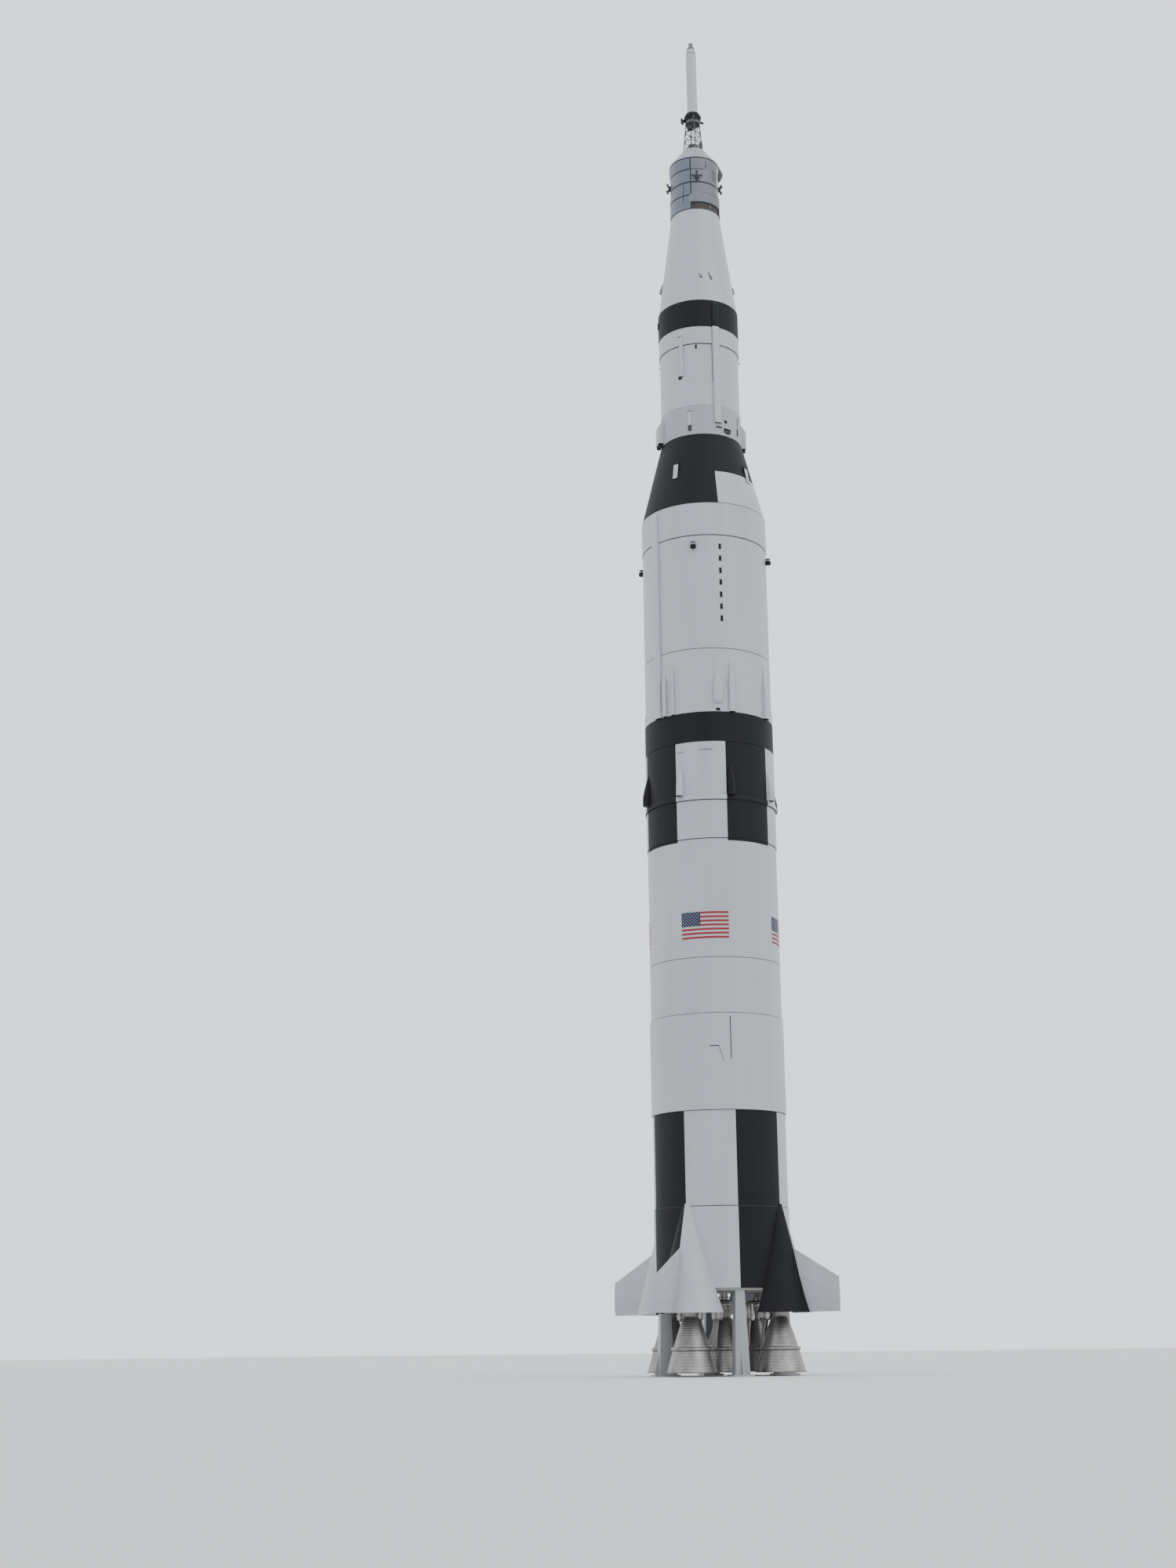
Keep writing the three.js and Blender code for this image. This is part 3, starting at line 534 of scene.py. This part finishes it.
def main_engine():
    """The parts of one engine on the rocket's axis, all given by radius or place in inches and by station. The
    manifold's section is the ellipse (53.5 + 5.2 cos t, -50 + 6.2 sin t)."""
    down = np.linspace(34, -115.35, 26)
    inner = [(0.4, 58), (20, 58), (20.4, 56), (18.5, 48), (16.2, 40)]
    inner += [(bell_radius(station) - 2.5, station) for station in down]
    outer = [(72.3, -115.35), (72.6, -114.5), (72.6, -112), (71, -111.4)]
    outer += hoops(np.arange(-104, -60, 8.5), 0.9, 0.5)
    outer += [(bell_radius(-58), -58), (bell_radius(-44), -44)]
    outer += hoops(np.arange(-36, 32, 6), 1.1, 0.9)
    outer += [(20.2, 38), (20, 41), (22.5, 47), (24, 54), (25.4, 55), (25.4, 58), (24, 59), (24, 78)]
    outer += [(25, 79), (25, 82), (22, 84), (18, 87.5), (0.4, 88)]
    slots = np.zeros((len(inner) + len(outer) - 1, 1), int)
    slots[: len(inner)] = SOOT
    bell = drum(scaled(inner + outer), slots, (SOOT, METAL), 96)
    t = np.linspace(-np.pi, np.pi, 17)
    manifold = drum(scaled(zip(53.5 + 5.2 * np.cos(t), -50 + 6.2 * np.sin(t))), METAL, (None, None), 72)
    pump = [(0.5, 28), (9, 28), (13.5, 30), (16, 34), (16.4, 44), (17.4, 44.5), (17.4, 47.5), (16.4, 48), (16.4, 60)]
    pump += [(17.4, 60.5), (17.4, 64), (15.8, 64.5), (15.8, 76), (14, 81), (9, 84), (0.5, 84)]
    pump = drum(scaled(pump), BRIGHT, (BRIGHT, BRIGHT), 40, (0, -37 * INCH))
    waste = [(0, -43, 34), (0, -47, 18), (0, -51, 0), (0, -53, -24), (0, -52.5, -48)]
    waste = [(x * INCH, y * INCH, height(station)) for x, y, station in waste]
    rings = 1 + 0.06 * (np.arange(40) % 4 < 2)
    duct = tube(curve(waste, 40), np.linspace(8.4, 7.6, 40) * INCH * rings)
    feeds = []
    for side in (-1, 1):
        feed = [(side * 10, -33, 70), (side * 24, -30, 78), (side * 30, -14, 76), (side * 21, -3, 70)]
        feed = [(x * INCH, y * INCH, height(station)) for x, y, station in feed]
        feeds.append(tube(curve(feed), 4.2 * INCH, 14, BRIGHT, (BRIGHT, BRIGHT)))
    return [bell, manifold, pump, duct, *feeds]


mount = [(14, 87), (14, 92), (16.5, 93), (16.5, 96), (13, 97), (13, 106), (17, 107), (17, 109.9)]
mount = drum(scaled(mount), BRIGHT, (BRIGHT, BRIGHT), 40)
build("centre_engine", main_engine() + [mount], [metal, soot, bright], ["engine_centre"])
for i in range(4):
    centre = around([(0, -ENGINE_CIRCLE, 0)], 90 * i)[0, :2]
    parts = [moved(part, 90 * i + 180) for part in main_engine()]
    for out in (-0.018, 0.018):
        low, high = (out - 0.004, -0.009, height(84)), (out + 0.004, 0.009, PIVOT + 0.009)
        parts.append(block(low, high, 0.0012, BRIGHT))
    parts = [(points + (*centre, 0), blocks) for points, blocks in parts]
    body = f"outer_engine_{i + 1}"
    build(f"swinging_engine_{i + 1}", parts, [metal, soot, bright], [f"engine_{i + 1}"], body)
    bare(f"gimbal_cross_{i + 1}", steel, 0.0008)

# The four posts that the rocket stands on: welded steel plate under grey paint, each with a foot plate to bolt down.
# They keep their CAD solids, with rounded edges.
grey = coat("post_steel", (0.3, 0.31, 0.32), 0.5, 0.2, soil=0.2)
for i in range(1, 5):
    bare(f"support_post_{i}", grey, 0.002)

# The two control modules at the foot of the third stage: pods of white painted sheet with a sloping roof, fixed on
# the skirt, with two dark nozzles underneath.
for i, angle in enumerate((135, 315), start=1):
    rows = [(2756, 20.4, 129.2, 15.2), (2757, 21, 129.2, 15.5), (2812, 21, 129.2, 15.5), (2815, 21, 129.2, 15)]
    rows += [(2825, 22, 129.2, 7.5), (2833.5, 23.8, 129.2, 0.7)]
    parts = [cover(angle, rows, 14, 0.9, WHITE, (BLACK, WHITE), steps=24)]
    for out in (-10, 10):
        nozzle = [(out, -137, 2757), (out, -137.2, 2754), (out, -137.6, 2750), (out, -138, 2746)]
        nozzle = np.array([(x * INCH, y * INCH, height(station)) for x, y, station in nozzle])
        bell = tube(nozzle[::-1], np.array([6.4, 7, 7.4, 7.4]) * INCH, 20, BLACK, (SEAM_AND_SHADE, BLACK))
        parts.append((around(bell[0], angle), bell[1]))
    build(f"control_pod_{i}", parts, stands_for=[f"control_module_{i}"])

# The service section: a drum of silver-grey metal panels screwed to a frame, with a raised band at its foot and a lip
# under the crew cone. The panels differ in tint, deep dark grooves run around and down between them, and two quarters
# have a long dark recess at their foot. A white strip on each of two quarters is a painted highlight.
silver = coat("silver_panel", (0.2, 0.215, 0.235), 0.42, 0.3, soil=0.15)
silver_blue = coat("silver_panel_blue", (0.12, 0.14, 0.18), 0.4, 0.3, soil=0.15)
silver_pale = coat("silver_panel_pale", (0.15, 0.16, 0.172), 0.5, 0.15, soil=0.12)
brown = coat("brown_panel", (0.035, 0.028, 0.024), 0.55, 0.2, soil=0.25)
fitting_grey = coat("fitting_grey", (0.07, 0.073, 0.08), 0.5, 0.2, soil=0.2)
brown_pale = coat("brown_panel_pale", (0.1, 0.096, 0.097), 0.5, 0.15, soil=0.2)
SILVERS = [silver, silver_blue, seam_and_shade, silver_pale, brown, white, fitting_grey, brown_pale]
SILVER, BLUE, DARK, PALE, BROWN, PAINTED_HIGHLIGHT, FITTING, BROWN_PALE = range(8)
levels = [3575, 3576, 3580, 3597, 3600, 3622.6, 3623.2, 3626.2, 3626.8, 3633, 3635, 3641.4, 3642, 3670.4, 3671.2]
levels += [3675, 3675.8, 3690, 3719, 3719.8, 3722.8, 3723.6, 3727, 3730, 3745, 3750, 3760, 3760.8, 3765]
levels = np.array(levels)
around_slots = np.zeros((len(levels) - 1, COLUMNS), int)
depth = np.zeros((len(levels), COLUMNS))


def service_line(low, high, start, end, deep=1.2, slot=DARK):
    """Sinks the section's skin by deep inches between two stations and two angles, and gives that field a finish."""
    rows = (levels > low) & (levels < high)
    columns = np.arange(start + 1, end) % COLUMNS
    depth[np.ix_(rows, columns)] = deep
    rows = (levels[:-1] >= low) & (levels[1:] <= high)
    around_slots[np.ix_(rows, np.arange(start, end) % COLUMNS)] = slot


for first in (0, 180):
    service_line(3576, 3760, first - 69, first + 21, 0, BLUE)
    service_line(3576, 3760, first + 24, first + 111, 0, PALE)
    # a white strip: a painted highlight
    service_line(3642, 3750, first + 99, first + 108, 0, PAINTED_HIGHLIGHT)
    service_line(3622.6, 3626.8, first - 69, first + 20)
    service_line(3633, 3635, first + 45, first + 96, 0, FITTING)
    service_line(3719, 3723.6, first - 69, first + 22)
    service_line(3719.8, 3722.8, first + 24, first + 58)
    service_line(3597, 3670.4, first + 3, first + 5, 0.3)
    service_line(3727, 3750, first + 58, first + 60, 0.3)
    service_line(3626.8, 3760, first + 21, first + 24)
    service_line(3690, 3727, first + 78, first + 96, 0.4, BROWN_PALE)
    service_line(3575, 3600, first + 21, first + 107, 4.5, BROWN)
    service_line(3597, 3600, first + 21, first + 107, 4.5, DARK)
    service_line(3575, 3597, first + 21, first + 26, 4.5, DARK)
    depth[0, first + 22 : first + 107] = 4.5
    around_slots[2, first + 71 : first + 73] = PALE
service_line(3670.4, 3675.8, 0, COLUMNS)
service_line(3760, 3766, 0, COLUMNS, 1.6)
reach = np.interp(levels, [3575, 3641.4, 3642, 3725, 3745, 3765], [82.3, 82.3, 80, 80, 82.8, 82.8])[:, None] - depth
angle = np.radians(np.arange(COLUMNS))
z = height(0) + levels[:, None] * INCH + 0 * angle
section = np.stack([reach * INCH * np.sin(angle), -reach * INCH * np.cos(angle), z], -1)
section = grid(section, around_slots, (DARK, SILVER))
build("service_skin", [section], SILVERS, ["service_section"])

# The four thruster quads: a low metal housing bolted on the service section's panels, with a cross of four small
# nozzles that widen to their mouths, all dark.
for i in range(4):
    angle = 37 + 90 * i
    low, high = (-7 * INCH, -87 * INCH, height(3684)), (7 * INCH, -78 * INCH, height(3698))
    parts = [block(low, high, 0.003, DARK)]
    for out, rise in ((1, 0), (-1, 0), (0, 1), (0, -1)):
        reach = np.array([2, 7, 9, 13, 17])
        path = [(out * d * INCH, -(84 + 0.35 * d) * INCH, height(3691 + rise * d)) for d in reach]
        parts.append(tube(path, np.array([2.6, 2.2, 1.5, 3, 4]) * INCH, 20, DARK, (DARK, DARK)))
    parts = [(around(points, angle), blocks) for points, blocks in parts]
    build(f"quad_{i + 1}", parts, SILVERS, [f"thruster_quad_{i + 1}"])

# The crew cone under its protective cover, a dull white shell, greyer than the stages' white as painted shade, that
# is fastened at the foot and has a dark rim at its top, and the short grey hatch drum inside the tower's legs, with a
# box of equipment beside it.
crew = [(82.2, 3765), (82.8, 3766), (37.6, 3825.8), (36.6, 3825.8), (35.2, 3827.6), (35.8, 3828), (34.3, 3829.7)]
crew += [(32, 3830), (17.7, 3830.2), (17.5, 3831), (17.5, 3843), (18.2, 3843.4), (18.2, 3845.6), (17.5, 3846)]
crew += [(17.5, 3849), (15, 3854.5), (12.8, 3856), (0.5, 3856)]
HATCH_GREY = 3
crew_slots = np.zeros((len(crew) - 1, 1), int)
crew_slots[[2, 3, 4, 7, 8]] = SEAM_AND_SHADE
crew_slots[9:] = HATCH_GREY
equipment = block((-6 * INCH, -31.5 * INCH, height(3829)), (6 * INCH, -19 * INCH, height(3861)), 0.002, HATCH_GREY)
parts = [drum(scaled(crew), crew_slots, (WHITE, HATCH_GREY)), moved(equipment, 121)]
build("crew_cover", parts, [dull_white_and_shade, black, seam_and_shade, fitting_grey], ["crew_cone"])

# The umbilical housing: a grey metal cover over the cables that cross the joint of the service section and the crew
# cone, whose dark grey is painted shade. It is fixed to the section and reaches over the joint.
housing = [(3721, 9.6, 80, 5), (3723, 10.6, 80, 7), (3739, 11, 80, 16), (3743, 11, 80, 15.8), (3779.5, 9.5, 80, -2.6)]
housing = cover(124, housing, 5, 0.6, 0, (0, 0), sunk=9)
build("umbilical_cover", [housing], [fitting_grey], ["umbilical_housing"])

# The escape tower: four tubular legs that lean in, and three bays of level and crossed bars welded between them, all
# under dark grey paint. The legs stand on the crew cone with short thicker feet.
TOWER_FOOT, TOWER_TOP = 3830, 3934
tower_grey = coat("tower_paint", (0.06, 0.063, 0.072), 0.45, 0.1, soil=0.15)


def tower_point(corner, level):
    """A point on a leg, with level from 0 at its foot to 1 at its top. Its distance from the axis shrinks evenly from
    32.3 to 23.8 inches."""
    reach = (32.3 - 8.5 * level) * INCH
    station = TOWER_FOOT + (TOWER_TOP - TOWER_FOOT) * level
    return around([(0, -reach, height(station))], 45 + 90 * corner)[0]


bars = []
for corner in range(4):
    bars.append(tube([tower_point(corner, 0.002), tower_point(corner, 0.998)], 1.8 * INCH, 14))
    bars.append(tube([tower_point(corner, 0.002), tower_point(corner, 0.03)], 2.6 * INCH, 14))
    for bay in range(3):
        low, high = (bay + 0.06) / 3, (bay + 0.94) / 3
        for start, end in [(low, high), (high, low), (low, low)][: 3 if bay else 2]:
            bars.append(tube([tower_point(corner, start), tower_point(corner + 1, end)], 1.1 * INCH, 10))
build("tower_frame", bars, [tower_grey], ["escape_tower"])

# The escape motor, all of painted metal: a skirt that is grey at its foot and black where it flares, with a grey
# wedge in front, two nozzles with wide mouths, two with narrow ones and a small drain bell, then the plain motor
# case, and the nose with its small cap, each screwed on the one below.
skirt_grey = coat("skirt_grey", (0.085, 0.09, 0.09), 0.5, soil=0.15)
mouth_dark = coat("nozzle_mouth", (0.02, 0.017, 0.015), 0.8, soil=0.3)
SKIRT_GREY, MOUTH = 3, 4
skirt = [(24, 3934), (24.6, 3934.6), (25.9, 3942), (27.2, 3949.5), (28.6, 3957.5), (29.1, 3959.6), (28.6, 3961)]
skirt += [(23, 3972), (18, 3981.4), (17.2, 3982.8)]
skirt_slots = np.full((len(skirt) - 1, 120), BLACK)
skirt_slots[[0, 1]] = SKIRT_GREY
skirt_slots[[7, 8]] = WHITE
for row, half in ((2, 3), (3, 1)):
    skirt_slots[row, 13 - half : 13 + half] = SKIRT_GREY
parts = [drum(scaled(skirt), skirt_slots, (SEAM_AND_SHADE, BLACK), 120)]
drain = [(15, 3939), (19, 3932), (22, 3926), (24, 3922)]
drain = np.array([(0, -reach * INCH, height(station)) for reach, station in drain])
parts.append(moved(tube(drain, np.array([2, 2.6, 4.4, 6.2]) * INCH, 20, MOUTH, (MOUTH, MOUTH)), 63))
for angle, mouth in ((45, 4.5), (135, 4.5), (225, 12), (315, 12)):
    reach = np.array([18, 24, 27, 30, 33.5, 37, 35.5, 29])
    path = [(0, -d * INCH, height(3949.7 - 0.35 * (d - 18))) for d in reach]
    flare = np.array([3.4, 3.4, 3.3, 3.4, 3.5, 3.6, 3.4, 2])
    flare[3:7] += (mouth - 3.6) * np.array([0.25, 0.65, 1, 0.93])
    nozzle_slots = np.array([BLACK, BLACK, BLACK, BLACK, BLACK, MOUTH, MOUTH])[:, None]
    nozzle = tube(path, flare * INCH, 28, nozzle_slots, (BLACK, MOUTH))
    parts.append(moved(nozzle, angle))
build("escape_flare", parts, [*PAINTS, skirt_grey, mouth_dark], ["escape_skirt"])
motor = [(16.8, 3983), (17.2, 3983.4), (17.2, 4202), (16.7, 4202.5), (16.7, 4203.9)]
motor_slots = np.array([[WHITE], [WHITE], [SEAM_AND_SHADE], [SEAM_AND_SHADE]])
build("motor_case", [drum(scaled(motor), motor_slots, (WHITE, WHITE), 120)], stands_for=["escape_motor"])
nose = [(17.2, 4204), (17.1, 4205), (14.5, 4219), (13.9, 4219.6), (13.9, 4220.6), (14.5, 4221), (14.4, 4222.4)]
nose += [(11.6, 4228), (8.7, 4234.2), (8.2, 4235), (7.9, 4236), (7.9, 4243), (7.2, 4245.4), (5.5, 4246.5)]
NOSE_GREY = 3
nose_slots = np.full((len(nose) - 1, 1), NOSE_GREY)
nose_slots[:3] = WHITE
nose_slots[3] = SEAM_AND_SHADE
nose_grey = coat("nose_grey", (0.13, 0.125, 0.14), 0.45, 0.1, soil=0.15)
build("nose_tip", [drum(scaled(nose), nose_slots, (WHITE, NOSE_GREY), 120)], [*PAINTS, nose_grey], ["nose_cap"])

# The flags, painted on each quarter of the first stage: seven red stripes over the white skin, and a blue field with
# fifty white stars. Here all are thin sheets on the skin.
# Red and blue are deeper than the flag's own colours, partly as painted shade.
red = coat("flag_red", (0.24, 0.004, 0.008), 0.55)
blue = coat("flag_blue", (0.005, 0.008, 0.04), 0.55)
FLAG_RED, FLAG_BLUE = 3, 4
FLAG_FOOT, FLAG_TOP = 1116, 1196
FLAG_WIDE, FIELD_WIDE = 41.9, 17.3  # in degrees
STRIPE = (FLAG_TOP - FLAG_FOOT) / 13


def star(angle, station):
    """A star with five points on the skin. Its outline is (R cos t, R sin t), with R in turn 1.9 and 0.75 inches."""
    t = np.pi / 2 + np.arange(10) * np.pi / 5
    outline = np.where(np.arange(10) % 2, 0.75, 1.9)
    rows = [
        np.stack([outline * np.cos(t), np.full(10, -reach), (station - FLAG_FOOT) + outline * np.sin(t)], 1)
        for reach in (195.6, 196.5)
    ]
    return grid(around(np.array(rows) * INCH, angle) + (0, 0, height(FLAG_FOOT)), WHITE, (WHITE, WHITE))


flags = []
for first in range(2, 360, 90):
    for i in range(7):
        start = first + FIELD_WIDE if i > 3 else first
        foot = FLAG_FOOT + 2 * i * STRIPE
        flags.append(plate(start, first + FLAG_WIDE, foot, FLAG_FOOT + (2 * i + 1) * STRIPE, 196, 0.2, FLAG_RED))
    flags.append(plate(first, first + FIELD_WIDE, FLAG_FOOT + 6 * STRIPE, FLAG_TOP, 196, 0.3, FLAG_BLUE))
    for row in range(9):
        count = 6 - row % 2
        for i in range(count):
            flags.append(star(first + 8.65 + 2.85 * (i - (count - 1) / 2), 1174.5 + 4.7 * (row - 4)))
build("flag_sheets", flags, [*PAINTS, red, blue])

# Marks and small fittings on the skins, as thin painted plates and small castings screwed on: two rows of black
# rectangles and four vents on the second stage, lines and plates round the joints, and brackets, housings and bumps
# on the third stage and on the cone over it. Four of the plates are painted shadow and painted shade, noted in the
# table.
PALE_GREY, DARK_GREY = 3, 4
fittings = []
for station in (2344, 2305, 2265, 2227, 2187, 2148, 2109):
    fittings += [plate(a - 1.25, a + 1.25, station - 9.25, station + 9.25, 195.2, 0.15, BLACK) for a in (45.4, 225.4)]
vent = [(8.6, 2337.5), (9, 2338), (9, 2346.5), (6.6, 2348), (6.6, 2353.6), (7.6, 2354.2), (7.6, 2356), (7, 2356.5)]
vent_slots = np.array([BLACK, BLACK, PALE_GREY, PALE_GREY, BLACK, BLACK, BLACK])[:, None]
vent = drum(scaled(vent), vent_slots, (BLACK, BLACK), 28, (0, -203.5 * INCH))
arm = block((-4 * INCH, -200 * INCH, height(2338)), (4 * INCH, -194 * INCH, height(2343)), 0.001, BLACK)
fittings += [moved(part, 21.4 + 90 * i) for i in range(4) for part in (vent, arm)]
MARKS = [
    # first and last angle, foot and top station, skin radius, how far it stands out, finish
    (57, 69.5, 2427, 2466, 197, 0.5, WHITE),
    # painted shadow under the foot of the third feed-line fairing
    (38, 41.5, 1814, 1822, 195.2, 1.5, BLACK),
    # a painted soft shadow on the interstage's white panel
    (22, 33, 1689.5, 1694, BODY_RADIUS, 0.6, PALE_GREY),
    (1.5, 8, 1687, 1690.5, BODY_RADIUS, 0.5, PALE_GREY),
    (42.1, 42.9, 760, 885, 199.5, 0.2, SEAM_AND_SHADE),
    (24.6, 32.7, 797.5, 800.5, 199.5, 0.2, SEAM_AND_SHADE),
    (-52.5, -48.5, 3172, 3193, 130.3, 3, BLACK),
    # a painted shadow line at the top of the cable cover
    (-1, 8, 3094, 3097, 129.8, 0.3, SEAM_AND_SHADE),
    (25.7, 28.3, 3046, 3060, 126.8, 1, BLACK),
    # painted shade at the open foot of the cable cover
    (-0.8, 4.6, 2947, 2959, 126.8, 0.6, BLACK),
    (50, 50.9, 2932, 3065, 126.8, 0.5, SEAM_AND_SHADE),
    (50.1, 50.9, 3065, 3124, 129.8, 0.3, SEAM_AND_SHADE),
    (12.5, 18.5, 2829, 2832, 129.2, 0.3, SEAM_AND_SHADE),
    (67, 71, 2794, 2804, 129.2, 1, BLACK),
    (53, 62, 2773, 2779, 129.2, 0.8, SEAM_AND_SHADE),
    (96, 97.3, 2800, 2830, 129.2, 0.8, SEAM_AND_SHADE),
    (93, 98, 2768, 2794, 129.2, 0.6, SEAM_AND_SHADE),
]
for start, end, low, high, radius, proud, slot in MARKS:
    fittings.append(plate(start, end, low, high, radius, proud, slot))
slant = [(32.1, 800), (33.5, 785), (34.9, 770), (36.3, 754)]
slant = [around([(0, -199.7 * INCH, height(station))], angle)[0] for angle, station in slant]
fittings.append(tube(slant, 0.7 * INCH, 8, SEAM_AND_SHADE, (SEAM_AND_SHADE, SEAM_AND_SHADE)))
upright = [(2763, 5, 129.2, 3), (2766, 5.6, 129.2, 3.4), (2782, 5.6, 129.2, 3.4), (2826, 5, 129.2, 2.6)]
upright += [(2829, 4, 129.2, 1)]
fittings.append(cover(15.4, upright, 2.5, slots=np.array([SEAM_AND_SHADE, SEAM_AND_SHADE, WHITE, WHITE])[:, None], caps=(SEAM_AND_SHADE, WHITE)))
pod = [(2758, 6, 129.2, 1), (2761, 12, 129.2, 4), (2768, 14, 129.2, 5), (2775, 13, 129.2, 4.5), (2780, 9, 129.2, 1.5)]
fittings.append(cover(71.5, pod, 2, slots=np.array([SEAM_AND_SHADE, SEAM_AND_SHADE, BLACK, WHITE])[:, None], caps=(SEAM_AND_SHADE, WHITE)))
bump = [(3308.5, 4, 117.4, 1), (3311, 7, 117, 6.8), (3316, 7, 116.2, 7.8), (3325, 7, 115, 7.4), (3347, 4, 112, 0.6)]
fittings.append(cover(-59, bump, 2, slots=PALE_GREY, caps=(SEAM_AND_SHADE, PALE_GREY)))
bump = [(3299, 4, 118.7, 1), (3301, 6, 118.4, 4.6), (3308, 6, 117.4, 5.2), (3317, 6, 116.2, 4.8)]
bump += [(3322, 4, 115.4, 0.6)]
fittings.append(cover(121, bump, 2, slots=PALE_GREY, caps=(SEAM_AND_SHADE, PALE_GREY)))
for angle, station, rise in ((-59, 3040, 0), (121, 3048, 5)):
    stub = [(0, -126, station), (0, -129, station), (0, -131.5, station + 0.2 * rise), (0, -133, station + rise)]
    stub = np.array([(x * INCH, y * INCH, height(station)) for x, y, station in stub])
    fittings.append(moved(tube(stub, 1.5 * INCH, 10, BLACK, (BLACK, BLACK)), angle))
LEANING = [
    # two castings that lean over on the adapter cone: angle, station and radius of each ring
    [(38.8, 3302, 3), (38.2, 3305, 4.6), (37, 3310, 3.4), (35.6, 3314, 1.8), (33.6, 3321, 1)],
    [(55.4, 3298, 3), (54.8, 3301, 4.6), (52.4, 3314, 3.6), (50, 3327, 1.4)],
]
for rings in LEANING:
    path = []
    for angle, station, radius in rings:
        cone_radius = 128.3 - 0.1353 * (station - 3218)
        path.append(around([(0, -(cone_radius - 0.4 * radius) * INCH, height(station))], angle)[0])
    radii = np.array([radius for angle, station, radius in rings]) * INCH
    fittings.append(tube(path, radii, 14, DARK_GREY, (DARK_GREY, DARK_GREY)))
vent_grey = coat("vent_grey", (0.19, 0.2, 0.22), 0.5, 0.1)
build("skin_fittings", fittings, [*PAINTS, vent_grey, fitting_grey])
